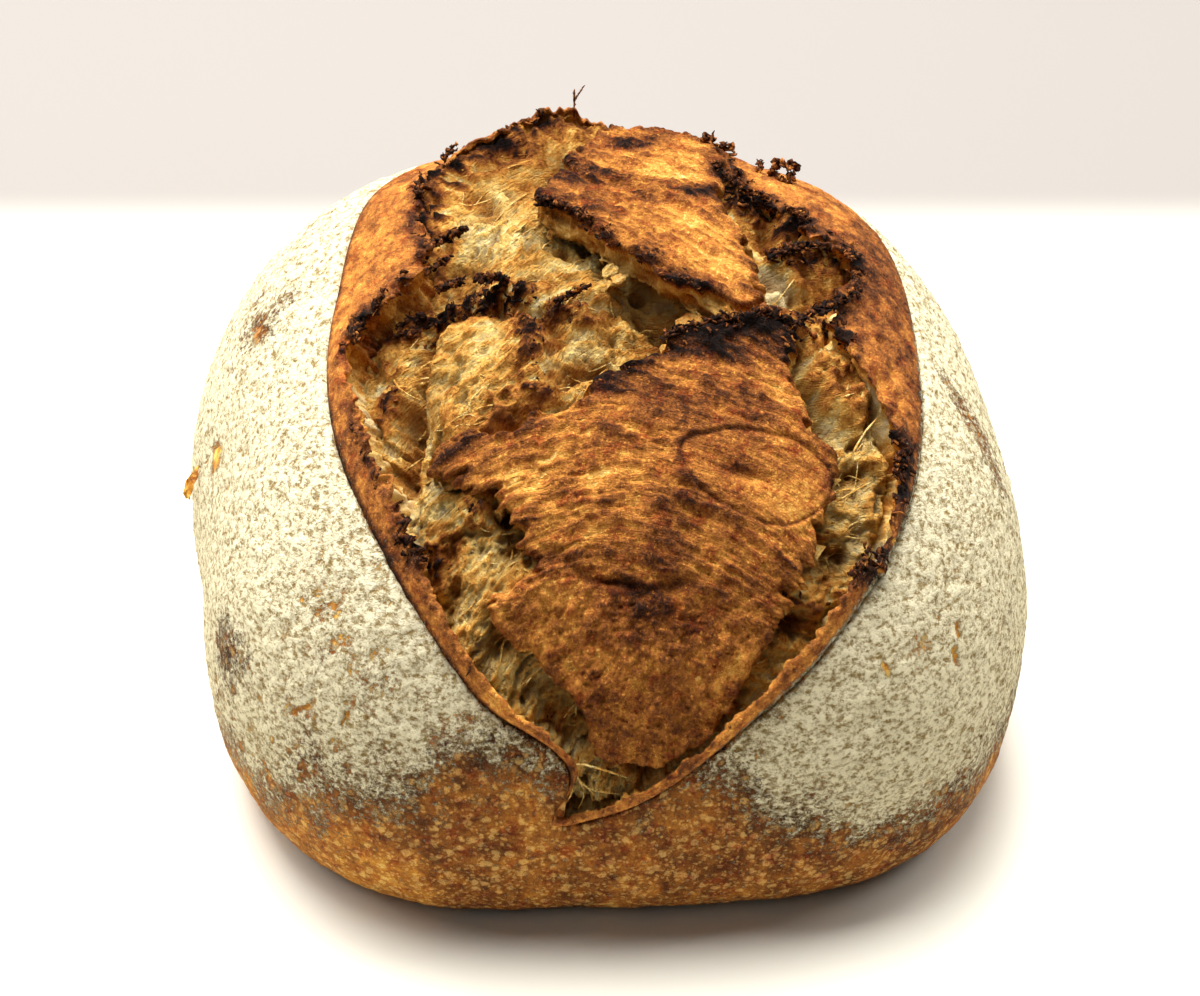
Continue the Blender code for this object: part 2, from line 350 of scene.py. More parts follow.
def ruffled(tree, size, reach):
    """The piece's own coordinates, pushed about by up to reach millimetres."""
    place = add_node(tree, "ShaderNodeTexCoord").outputs["Object"]
    feeds = {"Vector": place, "Scale": 1 / (size * MM), "Detail": 3.0}
    push = add_node(tree, "ShaderNodeTexNoise", feeds).outputs["Color"]
    steps = (("SUBTRACT", {1: (0.5, 0.5, 0.5)}), ("SCALE", {"Scale": 2 * reach * MM}), ("ADD", {1: place}))
    for operation, feeds in steps:
        push = add_node(tree, "ShaderNodeVectorMath", {0: push, **feeds}, operation=operation).outputs[0]
    return push


def scattered(tree, place, scale, near, far, share):
    """Round marks scattered over a share of the cells, fading from near to far from each middle."""
    found = add_node(tree, "ShaderNodeTexVoronoi", {"Vector": place, "Scale": scale})
    own = add_node(tree, "ShaderNodeSeparateColor", {0: found.outputs["Color"]}).outputs[0]
    round_marks = between(tree, found.outputs["Distance"], far, near)
    return times(tree, round_marks, between(tree, own, 1 - share, 1.15 - share))


def with_strands(tree, stretch):
    """Places counted in millimetres across the strands, and with them at a stretch."""
    feeds = {0: times(tree, marked(tree, "along"), stretch), 1: marked(tree, "across")}
    return add_node(tree, "ShaderNodeCombineXYZ", feeds).outputs[0]


def blister_skins(tree):
    """The thin skins of bubbles, large and small, with broken edges."""
    place = ruffled(tree, 2.2, 1.3)
    large, small = (scattered(tree, place, 1 / (apart * MM), near, far, share)
                    for apart, near, far, share in (LARGE_BLISTERS, SMALL_BLISTERS))
    skins = larger(tree, large, times(tree, small, 0.75))
    return times(tree, skins, between(tree, speckle(tree, 1.1, 3, 0.6), 0.30, 0.50))


def pore_pits(tree, pores):
    """Small pits between the strands and irregular ones over them."""
    between_strands = times(tree, scattered(tree, with_strands(tree, 0.36), 0.62, 0.12, 0.36, 0.65), pores)
    pit = between(tree, speckle(tree, 1.3, 3, 0.7), 0.46, 0.36)
    return larger(tree, between_strands, times(tree, pit, 0.8 * pores))


def baked_finish(name, mottle, mottle_size, flour=False, streaks=0.0, painted_glints=0.0, grain_size=0.7,
                 grain_depth=0.25, roughness=0.8, blisters=0.0, pores=0.0, ruddiness=0.5, cast=None):
    """Baked dough: its mark bake runs from raw to burnt, and flour lies where its mark flour says.

    Streaks and pores follow the marks along and across, which count millimetres with and across strands.
    Painted shade darkens it towards a warm brown in its hollows and pores, as its shade mark says.
    """
    finish = bpy.data.materials.new(name)
    finish.use_nodes = True
    tree = finish.node_tree
    shader = tree.nodes["Principled BSDF"]
    coarse = less(tree, speckle(tree, mottle_size, 4, 0.7), 0.5)
    fine = less(tree, speckle(tree, grain_size, 3, 0.75), 0.5)
    bake = plus(tree, marked(tree, "bake"), times(tree, coarse, mottle))
    bake = plus(tree, bake, times(tree, fine, mottle))
    grain = fine
    if streaks:
        feeds = {"Vector": with_strands(tree, 0.16), "Scale": 0.8, "Detail": 4.0, "Roughness": 0.72}
        strand = less(tree, add_node(tree, "ShaderNodeTexNoise", feeds).outputs["Fac"], 0.5)
        strand = times(tree, strand, marked(tree, "streaky"))
        bake = plus(tree, bake, times(tree, strand, streaks))
        grain = plus(tree, fine, times(tree, strand, 2.0))
    # Painted glints: scattered pale golden grains that stand in for tiny highlights.
    if painted_glints:
        painted_glint = between(tree, speckle(tree, 0.75, 2, 0.5), 0.60, 0.70)
        bake = less(tree, bake, times(tree, painted_glint, painted_glints))
    if blisters:
        skins = blister_skins(tree)
        bake = less(tree, bake, times(tree, skins, blisters))
        grain = plus(tree, grain, times(tree, skins, 0.6))
    colour = browning(tree, bake, BROWNING)
    if blisters:
        colour = blended(tree, times(tree, skins, 0.46), colour, BLISTER_SKIN)
    ruddy = times(tree, between(tree, speckle(tree, 4.5, 4, 0.7), 0.48, 0.68), ruddiness)
    ruddy = times(tree, ruddy, between(tree, bake, 0.25, 0.5))
    colour = blended(tree, ruddy, colour, RUDDY_CAST, "MULTIPLY")
    # Painted shade: the shade mark and the pores darken the colour towards a warm brown.
    painted_shade = marked(tree, "painted_shade")
    if pores:
        pits = pore_pits(tree, pores)
        painted_shade = larger(tree, painted_shade, pits)
        grain = less(tree, grain, times(tree, pits, 0.8))
    colour = blended(tree, painted_shade, colour, PAINTED_SHADE_TONE, "MULTIPLY")
    if cast:
        colour = blended(tree, 1.0, colour, cast, "MULTIPLY")
    if flour:
        scatter = less(tree, speckle(tree, 1.5, 4, 0.8), 0.5)
        dust = plus(tree, marked(tree, "flour"), times(tree, scatter, 2.6))
        dust = between(tree, dust, 0.20, 0.66)
        # Flour lies in clumps and is darker tan in the low places between them, partly thin flour and partly
        # painted shade.
        clumps = times(tree, speckle(tree, 2.1, 5, 0.72, stretch=(1.0, 1.0, 1.5)), 0.75)
        powder = plus(tree, clumps, times(tree, speckle(tree, 0.8, 3, 0.8), 0.25))
        flour_colour = blended(tree, between(tree, powder, 0.38, 0.56), FLOUR_DARK, FLOUR_LIGHT)
        colour = blended(tree, dust, colour, flour_colour)
        grain = plus(tree, fine, times(tree, powder, times(tree, dust, 5.0)))
    tree.links.new(colour, shader.inputs["Base Color"])
    shader.inputs["Roughness"].default_value = roughness
    shader.inputs["Specular IOR Level"].default_value = 0.08
    feeds = {"Height": grain, "Strength": 1.0, "Distance": grain_depth * MM}
    tree.links.new(add_node(tree, "ShaderNodeBump", feeds).outputs[0], shader.inputs["Normal"])
    return finish


# The score line, where the floured crust was slashed and the burst began.
CREASE = (
    (-17.5, -168), (-10, -151), (-35, -130), (-50, -104), (-60, -82), (-70, -55), (-75, -25), (-73, 0),
    (-66, 25), (-56, 48), (-38, 67), (-12, 79), (18, 81), (45, 71), (64, 53), (77, 30),
    (83, 3), (82, -25), (80, -50), (76, -72), (69, -94), (59, -118), (42, -142), (24, -157.5),
    (4, -166),
)
CRUST_COLUMNS = 960
CRUST_ROWS = 142
FLOUR_REACH = (
    (-180, 186), (-151, 180), (-140, 184), (-129, 168), (-113, 156), (-104, 144), (-92, 142), (-76, 152),
    (-66, 163), (-53, 179), (-40, 176), (0, 184), (180, 186),
)
BARE_PATCHES = (
    (-88, 12, 10, 8, -0.35), (-97, 10, 12, 8, -0.35), (-123, -79, 9, 8, -0.7), (-114, -89, 9, 7, -0.5),
    (91, -19, 6, 7, -0.40), (99, -23, 7, 7, -0.5), (107, -27, 8, 8, -0.5), (116, -33, 8, 9, -0.5),
    (93, -92, 9, 8, -0.2), (100, 60, 18, 14, -0.3), (-70, 105, 16, 14, -0.35), (30, 120, 22, 12, -0.25),
    (-92, -106, 14, 7, -0.2), (-60, -112, 10, 12, -0.1), (-105, 30, 10, 20, -0.2), (128, -66, 8, 12, -0.3),
    (-129, -12, 4, 6, -1.2),
)
CRACKS = (
    ((-98, -110), (-93, -110), (-87, -111)), ((-80, -119), (-76, -117)), ((81, -102), (84, -104)),
    ((101, -83), (102, -86)), ((102, -89), (106, -91)), ((60, 118), (72, 112)), ((-110, 60), (-118, 52)),
    ((-137, -3), (-131, -5), (-127, -9)),
)


def crust_marks(x, y):
    """Flour cover, baking and level of the crust at places on the unrolled dome."""
    down = np.hypot(x, y)
    turn = np.degrees(np.arctan2(y, x))
    reach = np.interp(turn, *np.array(FLOUR_REACH, float).T)
    reach = reach + 9 * clouds(x, y, 26, 11, 3)
    cover = ease((reach - down) / 50 + 0.5)
    cover = np.clip(cover + spots(x, y, BARE_PATCHES), 0, 1)
    cover = np.clip(cover - 0.22 * ease(clouds(x, y, 14, 13, 3) * 1.6), 0, 1)
    clumps = clouds(x, y, 3.0, 41, 2)
    worn = 0.25 + 0.75 * ease(0.5 + 1.3 * clouds(x, y, 30, 14, 2)) * ease((down - 70) / 50)
    sheltered = 1 - ease((-y - 20) / 60)
    rubbed = 0.42 * worn * ease((-clumps - 0.12) / 0.35)
    flour = np.clip(cover - rubbed, 0, 1) + 0.30 * cover * sheltered * (1.1 - worn)
    blister, size = cells(x * 0.8, y, 3.3, 17)
    blister = ease((0.20 + 0.30 * size - blister) / 0.2) * (size > 0.45) * (0.6 + 0.4 * clouds(x, y, 9, 18))
    small, pick = cells(x, y, 1.5, 19)
    small = ease((0.40 - small) / 0.2) * (pick > 0.5)
    raised = np.maximum(blister, 0.6 * small) * (1 - cover)
    bake = 0.62 + 0.12 * clouds(x, y, 20, 23, 3) + 0.14 * clouds(x * 0.7, y, 4.5, 29, 4) - 0.08 * raised
    bake = bake + 0.05 * cover * (1 - cover) * 4 - 0.32 * ease((cover - 0.6) / 0.3)
    bake = bake + spots(x, y, ((-129, -12, 5, 7, -0.25),))
    bake = bake + 0.16 * ease((down - 205) / 14) - 0.10 * ease((down - 165) / 25) * ease((-x - 60) / 40)
    bake = bake + spots(x, y, ((-30, -142, 24, 8, 0.06), (60, -150, 30, 12, 0.08), (-118, -84, 12, 10, 0.1)))
    level = 0.8 * clouds(x, y, 46, 31) + 0.4 * clouds(x, y, 16, 37, 2)
    level = level + cover * (0.55 * clumps + 0.12 * clouds(x, y, 1.5, 43))
    level = level + 0.20 * raised + 0.12 * clouds(x, y, 2.4, 47) * (1 - cover)
    for path in CRACKS:
        away = distance_to_path(x + 0.8 * clouds(x, y, 3, 53), y + 0.8 * clouds(x, y, 3, 59), path)
        split = bell(away / 0.75)
        level = level - 0.7 * split
        flour = flour * (1 - split)
        bake = bake + 0.08 * split
    return flour, bake, level


crease_line = spaced_evenly(closed_spline(CREASE, 40), CRUST_COLUMNS)
outward = np.arctan2(crease_line[:, 1] - BURST_MIDDLE[1], crease_line[:, 0] - BURST_MIDDLE[0])
base_line = BASE_REACH * np.stack([np.cos(outward), np.sin(outward)], axis=-1)
share = np.linspace(0, 1, CRUST_ROWS)[:, None, None]
place = crease_line[None] + (base_line - crease_line)[None] * share
crust_x, crust_y = place[..., 0], place[..., 1]
from_crease = np.hypot(crust_x - crust_x[0], crust_y - crust_y[0])
flour, bake, level = crust_marks(crust_x, crust_y)
ragged = 0.5 * clouds(crust_x[0], crust_y[0], 3.0, 61, 2)
edge = bell(from_crease / 1.1)
dark_edge = 0.35 + 0.65 * ease((10 - crust_x) / 60)
level = level * ease((BASE_REACH - np.hypot(crust_x, crust_y)) / 12) - 1.1 * dark_edge * edge
bake = bake + 0.2 * dark_edge * edge
flour = flour * ease(from_crease / (2.6 - 1.4 * dark_edge) + 0.2)
inward = (crease_line - base_line) / np.linalg.norm(crease_line - base_line, axis=-1, keepdims=True)
crust_x = crust_x + inward[None, :, 0] * (ragged + 0.4)[None] * edge
crust_y = crust_y + inward[None, :, 1] * (ragged + 0.4)[None] * edge
level[0] -= 3.0
crust_points = stand_off(crust_x, crust_y, level)
crust_points[-1, :, 2] = 0.0
crust_pattern = on_pattern(crust_x, crust_y, 262)
crust_finish = baked_finish("floured_crust_finish", mottle=0.34, mottle_size=2.2, flour=True, painted_glints=0.07,
                            grain_depth=0.42, blisters=0.16, ruddiness=0.95, cast=tone(250, 255, 235))
half = CRUST_COLUMNS // 2
halves = (("floured_crust_left", 0, half), ("floured_crust_right", half, CRUST_COLUMNS))
for name, first, last in halves:
    side = np.arange(first, last + 1) % CRUST_COLUMNS
    marks = {"bake": bake[:, side], "flour": flour[:, side], "painted_shade": 0.0}
    crust = skin(name, crust_points[:, side], marks, crust_pattern[:, side])
    crust.data.materials.append(crust_finish)
    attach(crust, "root")
    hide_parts("loaf")


# Baked base. The underside of the same crust, which baked flat on the hot stone: darker, with pits where
# steam was caught and a dusting of the meal it slid in on.
BASE_ROWS = 70
BASE_COLUMNS = 320
rim = crust_points[-1, ::CRUST_COLUMNS // BASE_COLUMNS]
share = np.linspace(1, 0.02, BASE_ROWS)[:, None]
base_x, base_y = rim[None, :, 0] * share, rim[None, :, 1] * share
pit, own = cells(base_x, base_y, 7.0, 67)
hollows = 0.7 * ease((0.45 - pit) / 0.3) * (own > 0.4) + 0.25 * (1 + clouds(base_x, base_y, 5, 71, 3))
hollows = hollows * ease((1 - share) / 0.03)
base_points = np.stack([base_x, base_y, hollows], axis=-1)
marks = {
    "bake": 0.56 + 0.10 * clouds(base_x, base_y, 25, 73, 3) - 0.1 * hollows + 0.05 * ease((1 - share) / 0.1),
    "flour": 0.30 + 0.28 * clouds(base_x, base_y, 16, 79, 4), "painted_shade": 0.0,
}
base = skin("baked_base", base_points, marks, on_pattern(base_x, base_y, 130), closed=True)
base.data.materials.append(crust_finish)
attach(base, "root")
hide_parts("loaf")


# Torn lip. The band of crust inside the score line, which opened in the oven, browned without flour and
# curled up into a thin ragged edge round the burst; its underside is torn crumb.
LIP = (
    (-15.5, -164.5), (-7.5, -149.5), (-30.5, -129), (-45, -103), (-52.5, -81), (-62, -54), (-66, -30),
    (-49, -10), (-48, 10), (-42, 25), (-27, 37), (-9, 47), (10, 49), (25, 40), (34, 16), (50, 8), (63, -4),
    (55, -28), (69, -49), (72, -70), (64, -92), (54.5, -116.5), (38.5, -139.5), (22, -154), (3, -163),
)
SPAN_STEPS = 54
LIP_HEIGHT = 3.2
REAR_LIP_HEIGHT = 7.0
# The lip's crest at the back: middle, reach across and along, and height.
LIP_CREST = (-17, 50, 13, 30, 7.0)
# Across the band: share of the way to the lip, millimetres past the lip, share of the lip's height, drop.
CURVE = [step / 26 for step in range(1, 27)]
LIP_SECTION = (
    [(-0.02, -0.8, 0, -1.8), (0.0, -0.2, 0, -1.1), (0.0, 0.5, 0.05, -0.4)]
    + [(t, 0.5 * (1 - t), math.sin(t * math.pi / 2), -0.1 * (1 - t)) for t in CURVE]
    + [(1, 0.45, 1, -0.25), (1, 0.7, 1, -0.7), (1, 0.6, 1, -1.2), (1, 0.2, 1, -1.7), (1, -0.5, 1, -2.2)]
    + [(1, -1.2 - 0.35 * k, 1, -2.8 - 1.0 * k) for k in range(0, 5)]
    + [(1, -2.6 + 0.5 * k, 0.4, -6.0 - 1.5 * k) for k in range(0, 8)]
)
EDGE_ROW = 3 + len(CURVE)
CHARRED_LIP = (
    (-64, -24, 6, 9, 0.28), (-58, -12, 8, 6, 0.28), (-49, 2, 6, 16, 0.18), (-42, 24, 8, 9, 0.16),
    (-17, 43, 14, 6, 0.16), (8, 50, 12, 5, 0.10), (30, 24, 6, 10, 0.30), (37, 14, 6, 5, 0.34),
    (48, 9, 8, 5, 0.30), (58, 3, 6, 5, 0.20), (64, -6, 5, 9, 0.24), (55, -28, 6, 8, 0.30),
    (71, -58, 4, 9, 0.30), (67, -82, 5, 8, 0.32), (-51, -86, 5, 7, 0.36), (-59, -66, 4, 22, 0.16),
)
PALE_LIP = (
    (-30, -124, 16, 22, -0.10), (50, -118, 18, 20, -0.06), (10, -150, 25, 10, -0.06),
    (-66, -60, 5, 24, 0.10), (-60, 10, 10, 22, 0.03), (72, 5, 16, 34, 0.17), (76, -60, 10, 30, 0.14),
    (10, 66, 50, 14, 0.12),
)
# Holes torn through the band on the right.
TORN_HOLES = (
    (66.5, -40, 2.2, 3.6, 1.0), (70.5, -34, 1.2, 2.2, 0.8), (72, -43, 1.2, 3, 0.7), (68, -27, 1.0, 2.0, 0.6),
)


def lip_top(x, y):
    """Height of the torn lip above the plain dome."""
    mid_x, mid_y, reach_x, reach_y, crest = LIP_CREST
    crest = crest * np.exp(-(((x - mid_x) / reach_x) ** 2) - ((y - mid_y) / reach_y) ** 2)
    front = 1 - 0.6 * ease((-138 - y) / 14)
    return LIP_HEIGHT * front + (REAR_LIP_HEIGHT - LIP_HEIGHT) * ease((y + 30) / 80) + crest


spline_crease = closed_spline(CREASE, SPAN_STEPS)
spline_lip = closed_spline(LIP, SPAN_STEPS)
toward = spline_lip - spline_crease
band = np.linalg.norm(toward, axis=-1, keepdims=True)
toward = toward / np.maximum(band, 0.5)
round_lip = np.cumsum(np.hypot(*np.diff(np.vstack([spline_lip[-1:], spline_lip]), axis=0).T))


def round_it(size, draw):
    """Random hills along the lip, size apart."""
    return hills(round_lip / size, 0 * round_lip, draw)


charred = np.clip(spots(spline_lip[:, 0], spline_lip[:, 1], CHARRED_LIP), 0, 0.4) / 0.4
lip_height = lip_top(spline_lip[:, 0], spline_lip[:, 1])
calm_front = 1 - 0.65 * ease((-95 - spline_lip[:, 1]) / 20)
teeth = (1.5 * round_it(2.3, 83) + 1.0 * round_it(0.9, 89)) * (0.5 + 1.2 * charred) + 1.4 * round_it(7, 97)
teeth = teeth * calm_front
jag = 1.3 * round_it(1.5, 101) * (0.5 + charred) + 1.0 * round_it(6, 103)
jag = np.maximum(jag * calm_front, 1.2 - lip_height)

section = np.array(LIP_SECTION)
row = np.arange(len(section))[:, None]
share, past, rise, drop = (section[:, k][:, None] for k in range(4))
reach = share * band[None, :, 0] + past + teeth[None] * ease((share - 0.55) / 0.45)
lip_x = spline_crease[None, :, 0] + toward[None, :, 0] * reach
lip_y = spline_crease[None, :, 1] + toward[None, :, 1] * reach
curled = ease((spline_lip[:, 1] - 5) / 25)[None]
rise = np.where(share < 1, rise + curled * (np.clip(share, 0, 1) ** 2.4 - rise), rise)
lip_level = rise * (lip_height[None] + 0.8 * curled) + drop + jag[None] * ease((share - 0.8) / 0.2)


def on_lip(size, draw, rounds=1):
    """Soft random hills over the band."""
    return clouds(lip_x, lip_y, size, draw, rounds)


# Wrinkles, lumps, dimples and holes in the band, then the torn wall under its edge.
along = round_lip[None] + 0 * reach
grain = 0.10 * hills(along / 6.0, reach / 1.1, 107) + 0.08 * hills(along / 2.2, reach / 0.6, 109)
grain = grain + 0.22 * on_lip(1.5, 110, 2)
dimple, own = cells(lip_x + 0.6 * on_lip(1.6, 115, 2), lip_y, 2.4, 116)
dimple = ease((0.34 - dimple) / 0.22) * (own > 0.55)
torn_hole = spots(lip_x + on_lip(2, 118, 2), lip_y, TORN_HOLES)
lumps = 0.45 * on_lip(9, 113, 2) + 0.50 * on_lip(3.2, 117, 3) - 0.30 * dimple - 2.4 * torn_hole
torn = ease((row - EDGE_ROW) / 4)
lip_level = lip_level + (grain + lumps) * ease(np.minimum(reach / 4, 1)) * (1 - torn)
down_wall = 1.3 * row + 0 * along
wall_lumps = 1.2 * clouds(along, down_wall, 3.5, 120, 2) + 0.5 * clouds(along, down_wall, 1.2, 122)
wall_web = np.abs(clouds(along, down_wall, 6, 119, 4)) * 2 - 0.6
wall_push = torn * (2.2 * wall_web + 0.7 * clouds(along, down_wall, 1.8, 121))
lip_level = lip_level + torn * wall_lumps
lip_x = lip_x + toward[None, :, 0] * wall_push
lip_y = lip_y + toward[None, :, 1] * wall_push
edge_near = bell(np.maximum(band[None, :, 0] - reach, 0) / (3.0 + 2.5 * charred[None]))
crumbly = on_lip(2.6, 124, 3)
lip_level = lip_level + edge_near * (0.3 + 1.1 * charred[None]) * (1.3 * crumbly + 0.5 * on_lip(1.1, 125))

bake = 0.51 + 0.26 * bell(reach / 1.2) * (0.3 + 0.7 * ease((10 - lip_x) / 60))
bake = bake + 0.12 * on_lip(8, 123, 3) + 0.07 * dimple - 0.22 * torn_hole
bake = bake + (0.12 + 0.05 * ease(lip_x / 40)) * on_lip(2.4, 126, 2)
bake = bake + 0.25 * grain + edge_near * (0.08 + 0.42 * charred[None]) * (0.8 + 1.3 * crumbly)
bake = bake + spots(lip_x, lip_y, PALE_LIP)
bake = np.where(row > EDGE_ROW + 1, 0.75 * bake + 0.02, bake)
browned_wall = np.maximum(ease((lip_y - 40) / 14), ease((-lip_x - 25) / 20) * ease((lip_y + 45) / 20))
bake = bake - torn * (0.14 + 0.24 * ease((row - EDGE_ROW - 4) / 4)) * (1 - 0.7 * browned_wall)
bake = bake + torn * (0.12 * clouds(along, down_wall, 4, 128, 3) + 0.10 * ease((-84 - lip_y) / 22))
flour = (0.16 + 0.5 * ease((lip_x - 20) / 40)) * bell(reach / 1.6) + 0.10 * ease(on_lip(5, 127, 3)) - 0.12
# Painted shade down the torn wall under the lip's edge and in the torn holes.
painted_shade = 0.45 * ease((row - EDGE_ROW - 5) / 10) + 0.5 * np.clip(torn_hole, 0, 1)
marks = {"bake": bake, "painted_shade": painted_shade, "flour": flour}
steps = np.hypot(np.diff(reach, axis=0), np.diff(lip_level, axis=0))
unrolled = reach[:1] + np.cumsum(np.vstack([0 * reach[:1], steps]), axis=0)
spread_x = spline_crease[None, :, 0] + toward[None, :, 0] * unrolled
spread_y = spline_crease[None, :, 1] + toward[None, :, 1] * unrolled
pattern = on_pattern(spread_x, spread_y, 132)
lip = skin("torn_lip", stand_off(lip_x, lip_y, lip_level), marks, pattern, closed=True)
lip_finish = baked_finish("torn_lip_finish", mottle=0.46, mottle_size=1.7, flour=True, painted_glints=0.14,
                          grain_depth=0.7, roughness=0.72, ruddiness=0.8)
lip.data.materials.append(lip_finish)
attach(lip, "root")
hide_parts("loaf")


# Open crumb. The soft inside that shows where the crust tore: pale webs of dough with pits between them,
# browned lightly where it stood up into the oven's heat.
VALLEY_LEVEL = -10.0
MOUNDS = (
    ((-24, 16), (19, 22), -1.5),
    ((-10, -12), (24, 14), -2.5),
    ((-33, -47), (15, 20), 0.5),
    ((-38, -86), (11, 14), -5.0),
    ((57, -41), (9, 11), 0.0),
    ((40, -20), (9, 12), -3.0),
    ((63, -64), (9, 22), -3.5),
    ((44, -4), (14, 12), -2.0),
    ((-29, -116), (14, 28), -3.0),
    ((0, -157), (18, 9), -2.6),
    ((53, -110), (9, 24), -3.5),
)
RIDGES = (
    (((-62, -24), (-50, -18), (-38, -20), (-24, -22), (-17, -28), (-7, -31)), 6.0, 3.0),
    (((-22, -26), (-19, -45), (-17, -60)), 4.0, 4.0),
    (((40, -9), (49, -3), (57, -1)), 5.0, 2.6),
    (((43, -32), (50, -25), (58, -19), (63, -10)), 6.0, 3.0),
    (((46, -90), (51, -97), (57, -99), (68, -88)), 6.0, 3.0),
    (((-52, -84), (-46, -90), (-43, -98)), 3.0, 4.0),
    (((52, -36), (54, -43), (55, -50)), 3.0, 3.0),
    (((-36, -80), (-33, -86)), 5.0, 3.5),
)
GAPS = (
    (((-47, -27), (-50, -38), (-54, -52), (-56, -66), (-57, -75)), -7.0, 3.5),
    (((-14, -1), (-3, -10), (8, -21), (17, -33)), -6.0, 3.5),
    (((-42, -99), (-30, -116), (-18, -131), (-6, -146)), -1.2, 4.0),
    (((53, -101), (55, -111), (49, -124), (44, -132)), -1.0, 3.5),
    (((42, 4), (50, 3), (56, -2)), -4.0, 3.0),
    (((46, -40), (48, -52), (56, -62), (62, -72), (62, -84)), -1.4, 3.5),
)
CRUMB_BOX = (-72, 78, -162, 74)
CRUMB_STEP = 0.48
LIP_OVERLAP = 4.0


def raster(low_x, high_x, low_y, high_y, step):
    """Places in rows and columns a step apart."""
    return np.meshgrid(np.arange(low_x, high_x, step), np.arange(low_y, high_y, step))


def softened(amount, reach):
    """The same amounts blurred over a square of cells."""
    for axis in (0, 1):
        padded = np.pad(amount, [(reach + 1, reach) if k == axis else (0, 0) for k in (0, 1)], mode="edge")
        total = np.cumsum(padded, axis=axis)
        size = amount.shape[axis]
        ahead = np.take(total, np.arange(2 * reach + 1, 2 * reach + 1 + size), axis=axis)
        behind = np.take(total, np.arange(size), axis=axis)
        amount = (ahead - behind) / (2 * reach + 1)
    return amount


def fibres(x, y, lean, long, short, draw):
    """Strands lying at an angle, long one way and short the other."""
    u = x * np.cos(lean) + y * np.sin(lean)
    v = y * np.cos(lean) - x * np.sin(lean)
    return hills(u / long, v / short, draw)


def combed(x, y, leans, long, short, draw):
    """Strands that turn with the lean of the dough: layers of fixed lean, each shown near its own."""
    total, weight = 0.0, 1e-6
    for count in range(6):
        lean = math.pi * count / 6
        close = np.maximum(np.cos(leans - lean) ** 2 - 0.5, 0) ** 2
        total = total + close * fibres(x, y, lean, long, short, draw + count)
        weight = weight + close
    return total / weight * 1.2


def webs(x, y, size, draw, rounds=1):
    """Thin raised webs round hollows of about the given size, from 0 in a hollow to 1 on a web."""
    return (1 - np.minimum(1.7 * np.abs(clouds(x, y, size, draw, rounds)), 1)) ** 1.5


def crumb_level(x, y):
    """Level of the crumb's mounds, ridges and gaps."""
    level = np.full(np.shape(x), VALLEY_LEVEL)
    for (mid_x, mid_y), (half_x, half_y), top in MOUNDS:
        out = ((x - mid_x) / half_x) ** 2 + ((y - mid_y) / half_y) ** 2
        level = np.maximum(level, VALLEY_LEVEL + (top - VALLEY_LEVEL) * ease(1.6 - out))
    for path, height, half_width in RIDGES + GAPS:
        level = level + height * bell(distance_to_path(x, y, path) / half_width)
    return level


# Deep pits between the webs: middle, reach across and along, depth.
PITS = (
    (-5, 0, 3, 3, 6), (0, -5, 3, 3, 6), (8, -17, 4, 3, 6), (15, -26, 4, 3, 6), (-9, 9, 2.5, 3, 5),
    (19, -33, 3, 2.5, 5), (-49, -40, 3, 8, 6), (-53, -58, 2.5, 8, 5), (-13, -160, 3, 3, 2),
    (-3, -158, 5, 2, 1.5), (-27, -85, 4, 3, 6), (-25, -95, 4, 4, 5), (-8, -47, 4, 3, 6), (-1, -46, 3, 3, 6),
    (-44, -91, 3, 3, 5), (-42, -98, 3, 3, 4), (-31, -116, 4, 3, 3), (-22, -130, 5, 3, 3),
    (-2, -150, 6, 3, 1.5), (8, -155, 6, 2.5, 1.5), (39, 6, 3, 3, 5), (62, -63, 3, 3, 4),
    (55, -101, 4, 4, 5), (53, -114, 4, 4, 2), (67, -49, 2.5, 2.5, 4), (63, -82, 3, 3, 4),
    (60, -70, 2.5, 3, 3), (50, -47, 2.5, 4, 4), (40, -14, 4, 3, 4), (-30, 18, 3, 5, 4),
    (-54, -48, 2.5, 5, 4), (-54, -64, 3, 6, 4), (-14, 32, 4, 4, 4), (0, -35, 4, 3, 3), (66, -73, 2.5, 4, 3),
    (48, -124, 3, 4, 1.5), (52, -7, 5, 2.0, 4), (48, -15, 4, 2.5, 3), (50, 4, 4, 2, 4),
)
crumb_x, crumb_y = raster(*CRUMB_BOX, CRUMB_STEP)
lip_outline = closed_spline(LIP, 8)
in_lip = depth_inside(crumb_x, crumb_y, lip_outline)


def on_crumb(size, draw, rounds=1):
    """Soft random hills over the crumb."""
    return clouds(crumb_x, crumb_y, size, draw, rounds)


warp_x, warp_y = 2.4 * on_crumb(8, 131, 4), 2.4 * on_crumb(8, 137, 4)
bent_x, bent_y = crumb_x + warp_x, crumb_y + warp_y
along, across = bent_x + bent_y, 1.2 * (bent_y - bent_x) + 9 * on_crumb(26, 141)
level = softened(softened(crumb_level(bent_x, bent_y) - 1.0, 3), 2)
by_lip = bell(np.maximum(in_lip, 0) / 6.0) * ease((crumb_y + 20) / 20)
bank = lip_top(crumb_x, crumb_y) - 1.6 - 0.75 * np.maximum(in_lip, 0)
bank = bank + 1.8 * clouds(bent_x, bent_y, 5, 145, 3)
level = level + ease((crumb_y + 12) / 20) * np.maximum(bank - level, 0)
lean = 0.75 + 1.2 * on_crumb(34, 139)
ragged_x = crumb_x + 1.5 * warp_x + 0.8 * on_crumb(2.4, 143, 2)
ragged_y = crumb_y + 1.5 * warp_y + 0.8 * on_crumb(2.4, 147, 2)
pitted = np.clip(spots(ragged_x, ragged_y, PITS), 0, 6)
hole, own = cells(ragged_x, ragged_y, 5.0, 151)
holes = ease((0.34 * own - hole) / 0.10) * (own > 0.78)
rent = ease((combed(ragged_x, ragged_y, lean, 12.0, 3.4, 155) - 0.22) / 0.16)
